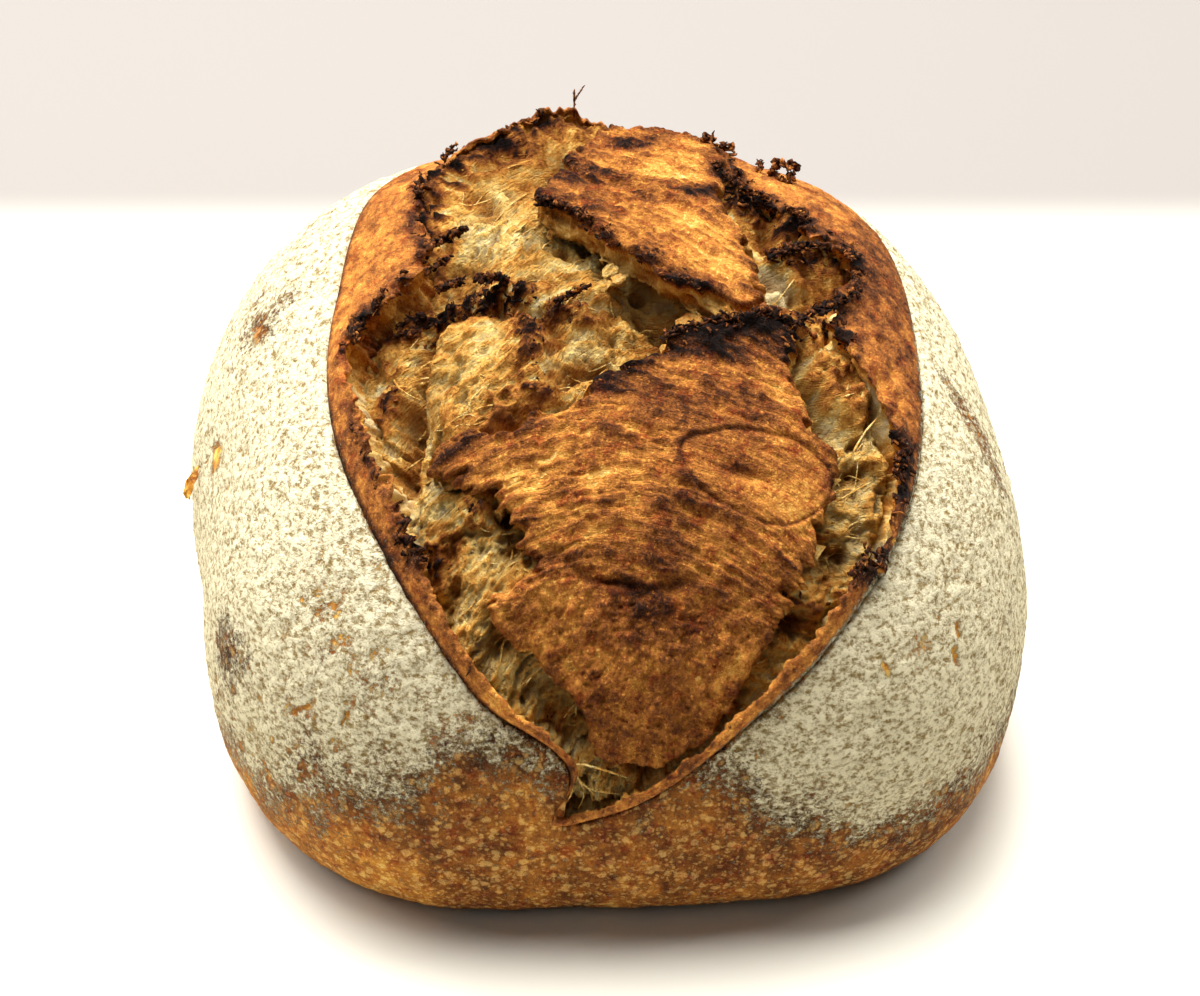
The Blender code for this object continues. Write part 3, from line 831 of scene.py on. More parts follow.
strand = combed(bent_x, bent_y, lean, 10.0, 1.9, 163) + 0.7 * combed(crumb_x, crumb_y, lean, 6.0, 1.0, 173)
level = level - 1.1 * pitted - 1.5 * holes - 1.7 * rent
pocket = ease((-2.0 - level) / 5)
lace = webs(ragged_x, ragged_y, 5.5, 185, 3)
level = level + pocket * (1.7 * lace - 0.9)
level = level + 2.0 * webs(bent_x, bent_y, 16, 149, 2) + 1.1 * clouds(bent_x, bent_y, 6.5, 153, 2)
steep_x, steep_y = crumb_x + 0.5 * level, crumb_y + 0.9 * level


def on_steeps(size, draw, rounds=1):
    """Soft random hills over the crumb that run down its steep places without stretching."""
    return clouds(steep_x, steep_y, size, draw, rounds)


level = level + 0.85 * strand + 0.75 * on_steeps(2.2, 157, 2)
level = level + 0.60 * on_steeps(1.1, 158) + 0.30 * hills(across / 0.9, along / 5, 159)
level = np.where(in_lip < 0, np.minimum(level, -1.5), level)
stood_up = np.clip((level - softened(level, 3)) / 0.9, -1, 1)
exposed = np.clip((level - softened(level, 24)) / 4.0, -1, 1)
CHARRED_CRUMB = (
    (-56, -22, 8, 4, 0.44), (-45, -19, 8, 4.5, 0.42), (-34, -20.5, 8, 5, 0.40), (-24, -23, 6, 5, 0.38),
    (-12, -30, 7, 3.5, 0.30), (-21, -36, 5, 9, 0.28), (-19, -50, 4, 10, 0.22), (43, -7, 5, 2.2, 0.46),
    (51, -2, 6, 2.2, 0.46), (48, -27, 6, 2.6, 0.42), (57, -20, 6, 2.6, 0.46), (63, -12, 3, 6, 0.4),
    (50, -97, 6, 3, 0.30), (62, -93, 5, 4, 0.22), (-47, -91, 5, 6, 0.36), (-40, 25, 7, 6, 0.18),
    (-26, 34, 9, 5, 0.16), (-46, 12, 5, 10, 0.20), (-12, 43, 9, 4, 0.14), (31, 22, 4, 8, 0.45),
    (37, 12, 5, 3.5, 0.42), (48, 6, 7, 2.6, 0.34), (53, -42, 3, 7, 0.12), (50, -11, 6, 3, 0.06),
    (54, -33, 5, 4, 0.16), (-34, -83, 4, 4.5, 0.30), (-60, -38, 4, 9, 0.26), (-18, -141, 5, 3.5, 0.26),
    (-10, -68, 10, 3, 0.2), (-24, -66, 8, 3, 0.26),
)
ORANGE_CRUMB = (
    (-28, -7, 9, 4, 0.16), (-14, -18, 10, 4, 0.16), (-37, 24, 7, 6, 0.14), (-37, -27, 12, 4, 0.12),
    (-29, -101, 6, 9, 0.10), (-60, -40, 3, 12, 0.12), (41, -30, 4, 5, 0.08), (-24, 30, 10, 6, 0.12),
    (60, -90, 8, 8, 0.05), (-4, -30, 9, 3, 0.16), (14, -36, 6, 3, 0.20), (-30, -60, 12, 6, 0.12),
    (-32, -44, 14, 16, 0.08), (41, -16, 5, 5, -0.5), (56, -8, 8, 9, 0.24), (44, 2, 10, 5, 0.16),
    (-45, 4, 5, 14, 0.16), (58, -40, 6, 8, 0.16),
)
# Browner where the crumb stands up into the heat; the browner tone in its low places is painted shade.
bake = 0.065 + 0.12 * ease(exposed) + 0.10 * ease(-1.4 * exposed) + 0.07 * stood_up
bake = bake + spots(bent_x, bent_y, ORANGE_CRUMB)
bake = bake + 0.18 * ease(on_steeps(10, 191, 3) + 0.2) + 0.08 * strand
bake = bake + 0.05 * ease((-84 - crumb_y) / 24)
burnt = spots(ragged_x, ragged_y, CHARRED_CRUMB)
crumbly = on_steeps(2.4, 197, 3)
bake = bake + burnt * (0.42 + 0.7 * stood_up + 1.3 * crumbly) * (1 - 0.6 * (pitted > 2))
bake = bake + softened(np.clip(burnt, 0, 0.6), 11) * (0.55 + 0.9 * crumbly + 0.3 * strand)
bake = bake + by_lip * (0.24 + 0.34 * crumbly + 0.1 * strand)
# Painted shade in the crumb's low places, pockets, holes, rents and pits, less towards the front.
painted_shade = np.clip(0.06 - 0.55 * exposed - 0.60 * stood_up, 0, 1) * 0.85
painted_shade = painted_shade * (1 - 0.4 * ease((-100 - crumb_y) / 20))
painted_shade = np.maximum(painted_shade, pocket * np.clip(0.58 - 1.1 * lace, 0, 0.5))
painted_shade = np.maximum(painted_shade, 0.66 * np.maximum(0.75 * np.maximum(holes, 0.7 * rent), ease(pitted / 3.5)))
level = level + np.clip(burnt, 0, 0.6) * (1.6 * crumbly + 1.8 * on_steeps(1.4, 199, 2))
marks = {"bake": np.clip(bake, 0, 1), "painted_shade": np.clip(painted_shade, 0, 0.9), "streaky": 1.0,
         "along": along + 0.7 * level, "across": across + 1.0 * level}
crumb_surface = level
scrap_beds = [(crumb_x, crumb_y, level, np.clip(burnt - 0.15, 0, 1) * (in_lip > 0))]
pattern = on_pattern(crumb_x, crumb_y, 122)
crumb = skin("open_crumb", stand_off(crumb_x, crumb_y, level), marks, pattern, kept=in_lip > -LIP_OVERLAP)
crumb_finish = baked_finish("open_crumb_finish", mottle=0.32, mottle_size=1.1, streaks=0.25, grain_size=0.9,
                            grain_depth=1.7, roughness=0.85, pores=0.55)
crumb.data.materials.append(crumb_finish)
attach(crumb, "root")
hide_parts("loaf")


# Torn plates. Sheets of dough that the burst tore loose and lifted into the heat: red brown and streaked
# along the tear, burnt on their raised edges, with pale crumb under them.
def plate_level(x, y, high, low):
    """Top of a torn plate, sloping from its high place to its low one."""
    along = np.array(low[:2], float) - high[:2]
    share = ((x - high[0]) * along[0] + (y - high[1]) * along[1]) / (along @ along)
    return high[2] + (low[2] - high[2]) * np.clip(share, 0, 1)


# The oval scar on the front plate: its outline, the dent in it, painted shade browner in the dent and a paler
# patch.
EYE = (
    (21, -70), (34, -65), (46, -64.5), (54, -68), (54, -76),
    (48, -82), (41, -84), (32, -83), (24, -80), (19, -75),
)
EYE_DENT = (35, -75, 7, 1.6, 1.0)
EYE_SHADE_AND_TONES = ((33, -73.5, 4, 1.8, 0.26), (44, -79, 5, 3, -0.16))
# Where the front plate's streaks give way to an even grain, and how far the torn wall runs out and is kept.
GRAINY_BELOW = -96
WALL_REACH = 4.2
WALL_KEPT = 4.4
PLATES = (
    {
        "name": "front_torn_plate", "draw": 200, "step": 0.36, "lean": 0.0, "bow": 0.003, "eye": EYE,
        "outline": (
            (41, -33), (20, -44), (0, -58), (-18, -67), (-43, -67), (-44, -73), (-27, -84), (-21, -97),
            (-18, -102), (-31, -104), (-31, -111), (-14, -127), (-5, -137), (0, -148), (14, -151.5),
            (30, -147), (42, -133), (45, -119), (50, -105), (54, -86), (55, -66), (45, -55), (42, -42),
        ),
        "high": (41, -33, 8.0), "low": (8, -150, -1.5), "ragged": 1.9, "depth": 9.0,
        "bake": 0.53,
        "browned": (
            (-32, -70, 12, 5, 0.18), (8, -62, 18, 6, 0.08), (22, -58, 20, 8, 0.08),
            (-22, -81, 12, 6, -0.12), (0, -79, 18, 4, -0.08), (36, -77, 8, 5, -0.05),
            (30, -88, 20, 8, 0.04), (44, -50, 7, 6, -0.14), (0, -97, 16, 7, 0.06), (10, -110, 10, 9, 0.20),
            (26, -113, 12, 6, 0.10), (-20, -110, 10, 7, -0.04), (20, -140, 18, 8, 0.05),
            (38, -126, 8, 12, -0.04), (-6, -124, 10, 10, -0.02), (16, -126, 12, 8, 0.03),
        ),
        "charred": (
            (36, -37, 9, 5, 0.84), (24, -44, 10, 5, 0.82), (10, -52, 9, 3.5, 0.48), (-2, -59, 8, 3, 0.26),
        ),
        "curl": ((34, -37, 10, 5, 2.8), (22, -44, 10, 4, 2.2), (8, -53, 10, 4, 1.2), (-36, -69, 10, 6, 1.4),
                 (-27, -106, 9, 6, 1.6), (-12, -79, 14, 5, -1.4), (14, -72, 14, 5, -0.8)),
        "step_down": ((-24, -100), (-12, -99), (0, -104), (12, -107), (26, -104)),
    },
    {
        "name": "rear_torn_plate", "draw": 400, "step": 0.34, "lean": -0.60, "bow": 0.0,
        "outline": ((-18, 5), (-8, -3), (-1, -13), (10, -21), (30, -32), (35, -27), (33, -10), (29, 3),
                    (28, 20), (28, 40), (15, 54), (0, 50), (-9, 32), (-13, 15)),
        "high": (-18, 5, 7.0), "low": (18, 42, 8.6), "ragged": 1.7, "depth": 9.0,
        "bake": 0.49,
        "browned": (
            (-8, 16, 7, 8, 0.14), (2, 36, 12, 5, 0.20), (22, 9, 6, 4, 0.20), (20, -20, 12, 5, -0.04),
            (10, 12, 10, 14, -0.05), (12, 40, 12, 10, 0.06), (0, 8, 8, 7, 0.10),
        ),
        "charred": (
            (-16, 4, 5, 4, 0.42), (-9, -2, 6, 4, 0.46), (-1, -12, 6, 4, 0.44), (9, -20, 6, 4, 0.38),
            (20, -26, 6, 3.5, 0.30), (4, 37, 8, 3.5, 0.40), (-4, 19, 6, 3.5, 0.34), (20, 9, 5, 3, 0.34),
            (-9, 26, 4, 4, 0.3), (27, 22, 3, 6, 0.40), (-11, 5, 8, 3, 0.2),
        ),
        "curl": ((-14, 3, 7, 5, 1.8), (0, -12, 8, 5, 1.4), (12, -21, 8, 4, 1.0)),
        "step_down": ((-6, 16), (4, 12), (14, 2)),
    },
)


def torn_plate(plan):
    """One torn plate with its ragged edge and the torn wall under it."""
    outline = closed_spline(plan["outline"], 8)
    low, high = outline.min(axis=0) - 4, outline.max(axis=0) + 4
    x, y = raster(low[0], high[0], low[1], high[1], plan["step"])
    draw, lean, has_eye = plan["draw"], plan["lean"], "eye" in plan

    def on_plate(size, over, rounds=1):
        return clouds(x, y, size, draw + over, rounds)

    # Strands run along, bowed and swaying; across counts over them.
    grainy = ease((GRAINY_BELOW - y) / 16)
    bow = plan["bow"] * (x - 5) ** 2 * (1 - grainy)
    bent = y + bow + 2.2 * on_plate(22, 3) + 0.9 * on_plate(6, 4, 2)
    along = x * math.cos(lean) + bent * math.sin(lean)
    across = bent * math.cos(lean) - x * math.sin(lean)
    depth = depth_inside(x, y, outline)
    fringe = 1.5 * hills(along / 9, across / 2.4, draw + 5) + 1.0 * hills(along / 4, across / 1.1, draw + 6)
    fringe = fringe * (1 - 0.85 * grainy) + 1.6 * grainy * on_plate(5.5, 7, 4)
    depth = depth + plan["ragged"] * 0.75 * (fringe + 0.8 * on_plate(5, 8, 3))
    ribs = hills(along / 15, across / 3.2, draw + 10) * (1 - 0.7 * grainy)
    threads = hills(along / 7, across / 1.4, draw + 20) * (1 - 0.6 * grainy)
    wisps = hills(along / 4, across / 0.8, draw + 26) * (1 - 0.4 * grainy)
    ledge = (across / 5.2 + 1.1 * on_plate(17, 30, 2) + 0.12 * threads) % 1.0
    ledge = ledge * ease((1 - ledge) / 0.10) - 0.4
    ledge = ledge * ease(0.5 + 1.2 * clouds(along, across * 2, 16, draw + 34)) * (1 - 0.8 * grainy)
    pocks, own = cells(x + 0.5 * wisps, bent, 1.8, draw + 40)
    pocks = ease((0.30 + 0.15 * own - pocks) / 0.2) * (own > 0.5)
    crags = clouds(x, bent, 2.6, draw + 46, 3)
    eye = np.full(np.shape(x), -50.0)
    if has_eye:
        shifted = x + 0.9 * on_plate(7, 48, 3), y + 0.9 * on_plate(7, 49, 3)
        eye = depth_inside(*shifted, closed_spline(plan["eye"], 6))
    calm = ease(eye / 2 + 0.5) * 0.6

    # The level of its top, and how that falls away over the edge and down the wall.
    top = plate_level(x, y, plan["high"], plan["low"]) + spots(x, y, plan["curl"])
    fine = 0.30 * ribs + 0.32 * threads + 0.30 * wisps + 0.7 * ledge + (0.90 + 0.6 * grainy) * crags
    fine = fine * (1 - calm) + 0.45 * grainy * clouds(x, bent, 1.5, draw + 47, 2)
    fine = fine - 0.25 * pocks + 0.22 * on_plate(1.3, 50, 2)
    step = distance_to_path(x + 2 * ribs, y + 2.5 * on_plate(7, 52), plan["step_down"])
    top = top + 0.8 * on_plate(15, 44, 2) + fine - 0.4 - 1.5 * bell(step / 1.6)
    top = top + 0.5 * bell((eye + 0.9) / 1.0) - 0.6 * bell(eye / 0.45)
    top = top - 1.6 * spots(x, y, (EYE_DENT,)) * has_eye
    edge = bell(np.maximum(depth, 0) / 2.5)
    over_edge = np.clip(-depth / WALL_REACH, 0, 1)
    level = top - 0.9 * ease((1.6 - depth) / 1.6) - plan["depth"] * (1 - 0.45 * grainy) * over_edge
    burnt = spots(x + 1.5 * fringe, y + 1.5 * threads, plan["charred"])
    crumbly = clouds(x, y + 0.9 * level, 2.2, draw + 55, 3)
    level = level - 0.8 * ease((0.9 - depth) / 0.9) + np.clip(burnt, 0, 0.7) * 2.2 * crumbly
    slope_y, slope_x = np.gradient(softened(depth, 3), plan["step"])
    steep = np.hypot(slope_x, slope_y) + 1e-6
    torn_side = clouds(x + 0.7 * level, y + 0.9 * level, 4.0, draw + 60, 3)
    under = over_edge * WALL_KEPT + ease(-depth / 1.2) * (1.3 * torn_side + 0.4)
    moved_x, moved_y = x + slope_x / steep * under, y + slope_y / steep * under

    # Baking: browner on ribs and edges, burnt on the raised edge, pale down the wall, with painted shade down
    # the wall and in the low places.
    bake = plan["bake"] + spots(x, y, plan["browned"])
    bake = bake + burnt * (0.6 + 0.5 * edge + 0.3 * ribs + 0.5 * crumbly)
    bake = bake + 0.08 * fine + 0.12 * on_plate(8, 70, 4)
    bake = bake + (0.06 * ribs + 0.09 * threads + 0.06 * wisps) * (1 - calm)
    bake = bake + (0.10 + 0.06 * grainy) * on_plate(3.2, 71, 3)
    bake = bake - 0.08 * pocks + 0.07 * edge * (depth > 0) + 0.13 * bell(eye / 0.5)
    # A darker band along the scar's lower left side, partly its own red-brown and partly painted shade.
    bake = bake + 0.16 * bell((eye + 0.8) / 1.6) * ease((26 - x - 0.9 * (y + 74)) / 16 + 0.5)
    bake = bake + 0.10 * bell(step / 2.2) + has_eye * spots(x + 1.5 * crags, y + crags, EYE_SHADE_AND_TONES)
    bake = bake - ease(-depth / 1.4 + 0.2) * (bake - 0.20 - 0.12 * torn_side) * 0.9
    painted_shade = ease(-depth / 2.0) * np.clip(0.35 + 0.9 * torn_side, 0.1, 0.8) + np.clip(-0.22 * fine, 0, 0.35)
    marks = {"bake": np.clip(bake, 0, 1), "painted_shade": painted_shade, "along": along, "across": across,
             "streaky": (1 - 0.75 * grainy) * (1 - 0.4 * calm)}
    scrap_beds.append((x, y, level, np.clip(burnt - 0.12, 0, 1) * edge * (depth > -0.3)))
    pattern = on_pattern(x, y, 0.5 * max(high - low), (high + low) / 2)
    return skin(plan["name"], stand_off(moved_x, moved_y, level), marks, pattern, kept=depth > -WALL_KEPT)


plate_finish = baked_finish("torn_plate_finish", mottle=0.48, mottle_size=1.3, streaks=0.28, painted_glints=0.16,
                            grain_size=0.6, grain_depth=0.9, roughness=0.78, pores=0.25, ruddiness=0.9)
for plan in PLATES:
    plate = torn_plate(plan)
    plate.data.materials.append(plate_finish)
    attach(plate, "root")
    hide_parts("loaf")


# Charred flakes. Scraps of thin dough along the torn edges, dried to crisp points and burnt; they stand up
# from the lip, from the folds in the crumb and from the raised edges of the plates.
def sprigs(name, starts, ends, bow, widths, flatness, bakes, rings=7, corners=6):
    """One mesh of many tapering scraps, each from its start to its end, bowed and roughly oval across."""
    starts, ends, bow = (np.asarray(a, float) for a in (starts, ends, bow))
    count = len(starts)
    t = np.linspace(0, 1, rings)
    spine = starts[:, None] + (ends - starts)[:, None] * t[None, :, None]
    spine = spine + bow[:, None] * np.sin(math.pi * t)[None, :, None]
    forward = ends - starts
    forward /= np.linalg.norm(forward, axis=1, keepdims=True) + 1e-9
    random = np.random.default_rng(len(name) + count)
    side = np.cross(forward, random.normal(size=(count, 3)))
    side /= np.linalg.norm(side, axis=1, keepdims=True)
    other = np.cross(forward, side)
    turn = np.linspace(0, 2 * math.pi, corners, endpoint=False)
    swell = np.interp(t, (0, 0.15, 0.7, 1), (0.8, 1.0, 0.9, 0.35))
    rough = random.uniform(0.45, 1.55, size=(count, rings, corners))
    girth = np.asarray(widths)[:, None, None] * swell[None, :, None] * rough
    wide = (girth * np.cos(turn))[..., None] * side[:, None, None]
    thick = (girth * flatness * np.sin(turn))[..., None] * other[:, None, None]
    rings_at = spine[:, :, None] + wide + thick
    mesh = bpy.data.meshes.new(name)
    faces = []
    for scrap in range(count):
        first = scrap * rings * corners
        for ring in range(rings - 1):
            for k in range(corners):
                a, b = first + ring * corners + k, first + ring * corners + (k + 1) % corners
                faces.append((a, b, b + corners, a + corners))
        faces.append(tuple(first + k for k in reversed(range(corners))))
        faces.append(tuple(first + (rings - 1) * corners + k for k in range(corners)))
    mesh.from_pydata((rings_at.reshape(-1, 3) * MM).tolist(), [], faces)
    shades = np.repeat(np.asarray(bakes)[:, None], rings * corners, axis=1)
    shades = shades + 0.10 * random.normal(size=shades.shape)
    layer = mesh.attributes.new("bake", "FLOAT", "POINT")
    layer.data.foreach_set("value", np.clip(shades, 0, 1).astype(np.float32).ravel())
    mesh.shade_smooth()
    piece = bpy.data.objects.new(name, mesh)
    bpy.context.scene.collection.objects.link(piece)
    return piece


# Craggy fingers of burnt dough: foot and tip, each on the unrolled crust with its level, width, baking.
FINGERS = (
    ((-10, 48, 12), (-10, 50, 18.5), 0.5, 0.74), ((-10, 49.5, 16), (-7.5, 50.5, 20), 0.35, 0.74),
    ((-48, -3, 2.5), (-37, -1, 5), 2.4, 0.92), ((-48, -12, 2), (-41, -10.5, 3.5), 2.0, 0.90),
    ((-14, -29.5, 0), (-6, -28, 3.0), 1.8, 0.9), ((27, 38, 7), (27, 39, 10.5), 3.0, 0.78),
    ((29, 38, 7), (33, 37, 8), 2.4, 0.76), ((39, 30, 4), (39, 32, 7.0), 1.6, 0.76),
    ((43, 30, 3), (43, 32, 8.5), 2.8, 0.78), ((46, 29, 3), (48, 31, 8.0), 2.8, 0.78),
    ((44, 31, 8), (48, 31, 8.3), 2.2, 0.8), ((-47, 16, 7), (-45, 22, 8.5), 1.8, 0.86),
    ((-39, 27, 9), (-36, 30, 10.5), 2.0, 0.80), ((-64, -30, 3), (-64, -22, 4), 1.8, 0.86),
    ((-60, -22, 3.5), (-57, -17, 4.5), 1.8, 0.86), ((29, 20, 7), (33, 14, 8), 2.2, 0.86),
    ((33, 14, 6.5), (40, 11, 7), 1.9, 0.84), ((45, 10, 6), (50, 7, 7), 1.5, 0.78),
    ((60, 0, 5), (62, -4, 5.5), 1.5, 0.80), ((62, -9, 4.5), (62, -14, 5), 1.8, 0.84),
    ((40, -9, 3), (47, -5, 4.6), 2.2, 0.93), ((46, -5, 4), (54, -1, 5), 2.0, 0.93),
    ((43, -33, 3), (50, -26, 5), 2.3, 0.92), ((49, -27, 4), (57, -21, 6), 2.3, 0.93),
    ((57, -21, 5), (62, -15, 5.5), 1.8, 0.9), ((22, -42, 8), (30, -38, 10), 2.3, 0.93),
    ((29, -39, 9), (38, -35, 11), 2.5, 0.94), ((14, -47, 7), (21, -43, 9), 1.9, 0.92),
    ((-44, -20, 2), (-36, -20, 3.5), 2.2, 0.90), ((-34, -20, 3), (-26, -22, 3.5), 2.4, 0.90),
    ((-17, 4, 8), (-12, 1, 8.5), 1.9, 0.88), ((-10, -1, 8), (-5, -6, 8), 1.9, 0.88),
    ((-51, -88, 2.5), (-47, -92, 3), 1.6, 0.86), ((71, -56, 3), (70, -62, 3.5), 1.6, 0.84),
    ((67, -80, 3), (65, -87, 3.5), 1.7, 0.86),
)
random = np.random.default_rng(17)
starts, ends, bows, widths, bakes = [], [], [], [], []
edge_rows = slice(EDGE_ROW - 9, EDGE_ROW + 5)
likely = edge_near * (0.02 + charred[None]) ** 1.5
scrap_beds.append((lip_x[edge_rows], lip_y[edge_rows], lip_level[edge_rows], likely[edge_rows]))
# How many scraps stand on the crumb, the front plate, the rear plate and the lip, and how long they are.
BED_SCRAPS = ((360, 1.7), (140, 1.4), (140, 1.5), (480, 1.8))
for (bed_x, bed_y, bed_level, likely), (count, length) in zip(scrap_beds, BED_SCRAPS):
    pick = random.choice(bed_x.size, count, p=likely.ravel() / likely.sum())
    x, y, foot = bed_x.ravel()[pick], bed_y.ravel()[pick], bed_level.ravel()[pick]
    heading = random.uniform(0, 2 * math.pi, count)
    size = length * random.uniform(0.4, 1.5, count) ** 1.4
    starts.append(stand_off(x - 0.3 * size * np.cos(heading), y - 0.3 * size * np.sin(heading), foot - 0.5))
    ends.append(stand_off(x + 0.7 * size * np.cos(heading), y + 0.7 * size * np.sin(heading),
                          foot + size * random.uniform(-0.1, 0.4, count)))
    bows.append(random.normal(0, 0.15, (count, 3)) * size[:, None])
    widths.append(0.34 * length * random.uniform(0.4, 1.5, count))
    shade = 0.70 + 0.3 * likely.ravel()[pick] / likely.max() + 0.10 * random.normal(size=count)
    bakes.append(np.clip(shade, 0.4, 1))
for foot, tip, width, shade in FINGERS:
    foot, tip = np.array(foot, float), np.array(tip, float)
    count = int(10 + 7 * np.linalg.norm(tip - foot) / width)
    middles = foot + (tip - foot) * random.uniform(0, 1, (count, 1))
    middles = middles + random.normal(0, 0.20 * width, (count, 3))
    reach = random.normal(0, 0.40 * width, (count, 3)) + 0.16 * (tip - foot)
    starts.append(stand_off(*(middles - 0.5 * reach).T))
    ends.append(stand_off(*(middles + 0.5 * reach).T))
    bows.append(random.normal(0, 0.10 * width, (count, 3)))
    widths.append(0.32 * width * random.uniform(0.5, 1.4, count))
    bakes.append(np.clip(shade - 0.05 + 0.10 * random.normal(size=count), 0.4, 1))
starts, ends, bows, widths, bakes = (np.concatenate(a) for a in (starts, ends, bows, widths, bakes))
flakes = sprigs("charred_flakes", starts, ends, bows, widths, 0.5, bakes, rings=6, corners=5)
flake_finish = baked_finish("charred_flake_finish", mottle=0.3, mottle_size=1.2, grain_depth=0.6,
                            roughness=0.75)
flakes.data.materials.append(flake_finish)
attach(flakes, "root")
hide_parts("loaf")


# Crumb strands. Threads of wet dough that stretched across the pits as the loaf tore, and set there.
STRAND_AREAS = (
    (-52, -50, 6, 22, 60), (-40, -60, 12, 14, 46), (-30, -92, 9, 9, 40), (-28, -118, 14, 12, 40),
    (-6, -146, 12, 6, 24), (-28, 20, 14, 24, 80), (-6, -18, 16, 10, 50), (40, -12, 8, 12, 30),
    (60, -52, 8, 16, 46), (62, -78, 6, 14, 40), (48, -112, 8, 12, 30), (50, 20, 12, 12, 30),
    (-6, -46, 9, 6, 24),
)
random = np.random.default_rng(23)
x = np.concatenate([random.uniform(mid_x - a, mid_x + a, n) for mid_x, mid_y, a, b, n in STRAND_AREAS])
y = np.concatenate([random.uniform(mid_y - b, mid_y + b, n) for mid_x, mid_y, a, b, n in STRAND_AREAS])
heading = 0.75 + 1.2 * clouds(x, y, 34, 139) + 0.5 * random.normal(size=len(x))
size = random.uniform(2.5, 9.0, len(x))
far_x, far_y = x + size * np.cos(heading), y + size * np.sin(heading)


def crumb_top(x, y):
    """Level of the finished crumb at the nearest of its points."""
    column = np.clip(((x - crumb_x[0, 0]) / CRUMB_STEP).round().astype(int), 0, crumb_x.shape[1] - 1)
    row = np.clip(((y - crumb_y[0, 0]) / CRUMB_STEP).round().astype(int), 0, crumb_x.shape[0] - 1)
    return crumb_surface[row, column]


near_level, far_level = crumb_top(x, y), crumb_top(far_x, far_y)
fits = (np.abs(near_level - far_level) < 4) & (depth_inside(x, y, lip_outline) > 2)
fits &= depth_inside(far_x, far_y, lip_outline) > 2
x, y, far_x, far_y = x[fits], y[fits], far_x[fits], far_y[fits]
near_level, far_level = near_level[fits], far_level[fits]
# Ropes of dough that fan out from the tip of the left lip: both ends, with their levels.
ROPES = np.array((
    (-9, -151.5, -0.6, -13, -163, -1.2), (-9, -151.5, -0.6, -7, -164, -1.2),
    (-9, -152, -0.8, 2, -161.5, -1.0), (-8, -151.5, -0.8, 9, -159, -1.4), (-8, -150, -1.0, 12, -154, -1.6),
    (60, -60, 0.5, 66, -48, 0.5), (58, -72, 0.0, 66, -64, 0.8), (46, -14, 1.0, 40, -24, 0.5),
    (-54, -44, 0.5, -47, -52, 0.0),
))
near = np.vstack([np.column_stack([x, y, near_level - 0.3]), ROPES[:, :3]])
far = np.vstack([np.column_stack([far_x, far_y, far_level - 0.2]), ROPES[:, 3:]])
thick = np.concatenate([random.uniform(0.16, 0.38, len(x)), random.uniform(0.24, 0.42, len(ROPES))])
sag = random.normal(0, 0.09, (len(near), 3)) * np.linalg.norm(far - near, axis=1)[:, None]
shades = 0.14 + 0.12 * random.uniform(size=len(near)) + 0.02 * near[:, 2].clip(0, 5)
strands = sprigs("crumb_strands", stand_off(*near.T), stand_off(*far.T), sag, thick, 0.7, shades, corners=4)
strands.data.materials.append(crumb_finish)
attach(strands, "root")
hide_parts("loaf")


# Peeled curl. A scrap of crust that lifted off the left side where the dough stuck to its basket.
CURL_SPINE = ((-143, 3, -0.2), (-144.5, 1.5, 0.9), (-146, 0, 1.8), (-147, -1.5, 2.6), (-148, -3, 3.2))
CURL_HALF_WIDTHS = (1.2, 2.4, 3.4, 3.2, 1.4)
CURL_THICKNESS = 0.7
wide = np.linspace(-1, 1, 15)
steps = np.linspace(0, 4, 33)
half = np.interp(steps, range(5), CURL_HALF_WIDTHS)[:, None]
line_x, line_y, line_level = (np.interp(steps, range(5), part)[:, None] for part in zip(*CURL_SPINE))
waver = 1 + 0.2 * hills(steps * 2, 0 * steps, 251)[:, None]
curl_x = line_x + 0.55 * half * wide
curl_y = line_y + 0.85 * half * wide * waver
curl_level = line_level + 0.9 * (1 - wide**2) * half / 3 + 0.3 * clouds(curl_x, curl_y, 2.0, 257, 2)
marks = {"bake": 0.46 + 0.2 * clouds(curl_x, curl_y, 3, 263), "flour": 0.1, "painted_shade": 0.0}
from_start = 0.05 + 0.9 * steps[:, None] / 4
pattern = np.stack(np.broadcast_arrays(0.5 + 0.45 * wide[None], from_start), axis=-1)
curl = skin("peeled_curl", stand_off(curl_x, curl_y, curl_level), marks, pattern)
thickness = curl.modifiers.new("thickness", "SOLIDIFY")
thickness.thickness = CURL_THICKNESS * MM
curl.data.materials.append(crust_finish)
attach(curl, "root")
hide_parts("loaf")


# Table. A plain pale board under the loaf, of matt paint. It turns to a light grey a little way behind the
# loaf, and lies a hair below it so that the two never share a face.
TABLE_BACK = 0.20
TABLE_FRONT_COLOUR = (0.87, 0.83, 0.72, 1)
TABLE_BACK_COLOUR = (0.262, 0.240, 0.220, 1)
table_mesh = bpy.data.meshes.new("table_top")
TABLE_CORNERS = ((-6, -4, 0), (6, -4, 0), (6, 8, 0), (-6, 8, 0))
table_mesh.from_pydata(TABLE_CORNERS, [], [(0, 1, 2, 3)])
table = bpy.data.objects.new("table_top", table_mesh)
table.location.z = -0.0002
bpy.context.scene.collection.objects.link(table)
table_finish = bpy.data.materials.new("table_finish")
table_finish.use_nodes = True
tree = table_finish.node_tree
spot = add_node(tree, "ShaderNodeSeparateXYZ", {0: add_node(tree, "ShaderNodeTexCoord").outputs["Object"]})
behind = between(tree, spot.outputs["Y"], TABLE_BACK - 0.02, TABLE_BACK + 0.05)
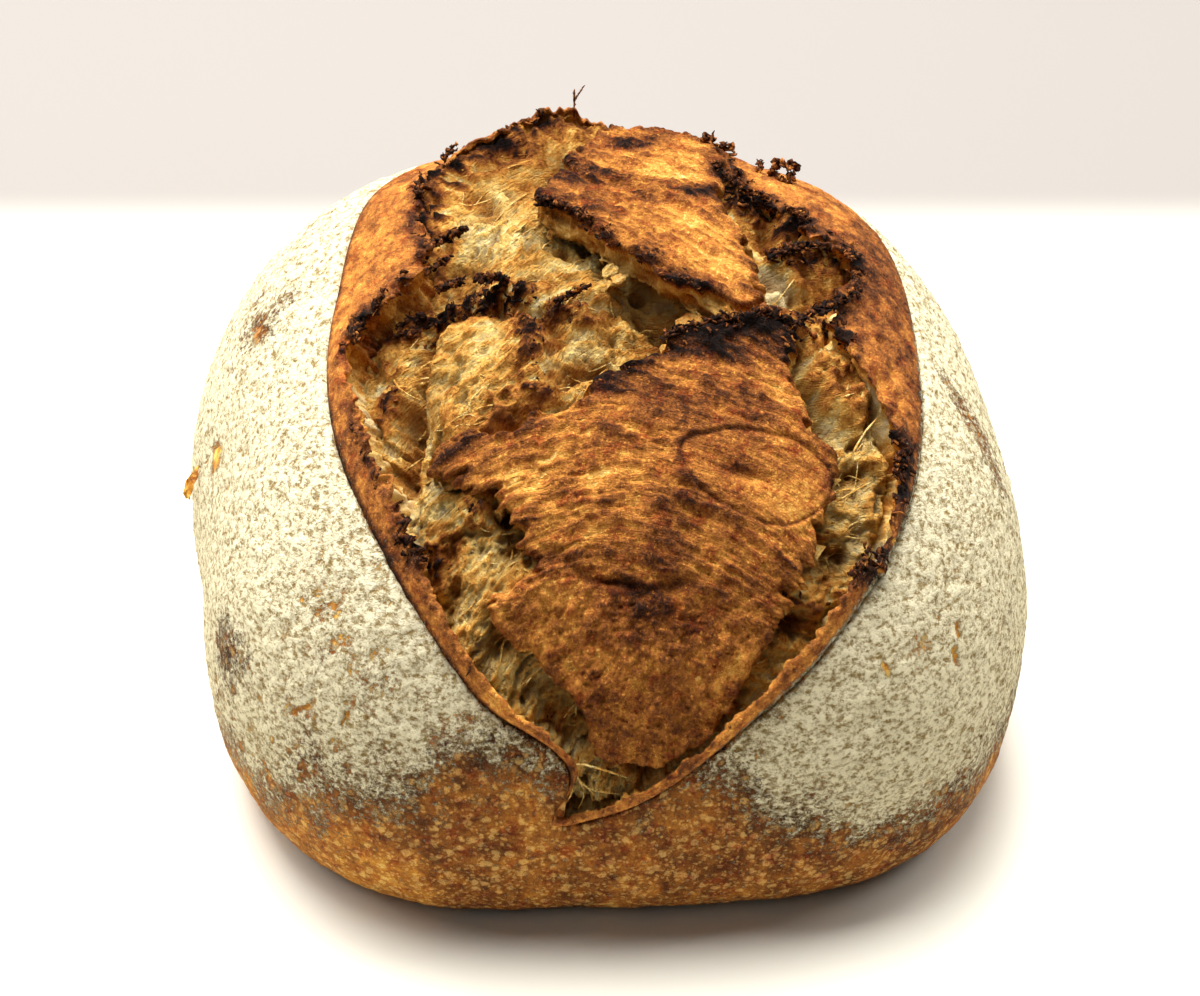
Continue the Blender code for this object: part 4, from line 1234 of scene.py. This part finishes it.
paint = tree.nodes["Principled BSDF"]
tree.links.new(blended(tree, behind, TABLE_FRONT_COLOUR, TABLE_BACK_COLOUR), paint.inputs["Base Color"])
paint.inputs["Roughness"].default_value = 0.9
paint.inputs["Specular IOR Level"].default_value = 0.1
table_mesh.materials.append(table_finish)

# Light. A large soft box hangs above and behind the loaf, with weaker ones at both sides and in front.
# A pale room all round fills the shadows a little.
world = bpy.data.worlds.new("pale_room")
bpy.context.scene.world = world
world.use_nodes = True
room = world.node_tree.nodes["Background"]
room.inputs["Color"].default_value = (1.0, 0.98, 0.95, 1)
room.inputs["Strength"].default_value = 0.036
AIM = Vector((0, -0.01, 0.07))
for name, place, size, power in (
    ("soft_box_behind", (-0.18, 0.58, 1.55), 1.4, 90.0),
    ("soft_box_left", (-0.8, 0.2, 0.75), 0.6, 5.0),
    ("soft_box_right", (0.8, 0.3, 0.7), 0.6, 5.0),
    ("soft_box_front", (-0.4, -0.8, 1.3), 0.8, 1.25),
):
    lamp = bpy.data.lights.new(name, "AREA")
    lamp.size = size
    lamp.energy = power
    held = bpy.data.objects.new(name, lamp)
    held.location = place
    held.rotation_euler = (AIM - Vector(place)).to_track_quat("-Z", "Y").to_euler()
    bpy.context.scene.collection.objects.link(held)

# Camera. It stands in front of the loaf, a little over half a metre from its middle, and looks down on it
# at 41 degrees.
TARGET = Vector((1.3 - PLAN_MIDDLE[0], -11.6 - PLAN_MIDDLE[1], 73.4)) * MM
CAMERA_DISTANCE = 630.6 * MM
CAMERA_RISE = math.radians(41)
eye_piece = bpy.data.cameras.new("camera")
eye_piece.sensor_width = 36.0
eye_piece.lens = 68.6
camera = bpy.data.objects.new("camera", eye_piece)
away = Vector((0, -math.cos(CAMERA_RISE), math.sin(CAMERA_RISE)))
camera.location = TARGET + away * CAMERA_DISTANCE
camera.rotation_euler = (-away).to_track_quat("-Z", "Y").to_euler()
bpy.context.scene.collection.objects.link(camera)
bpy.context.scene.camera = camera
bpy.context.scene.view_settings.view_transform = "Standard"
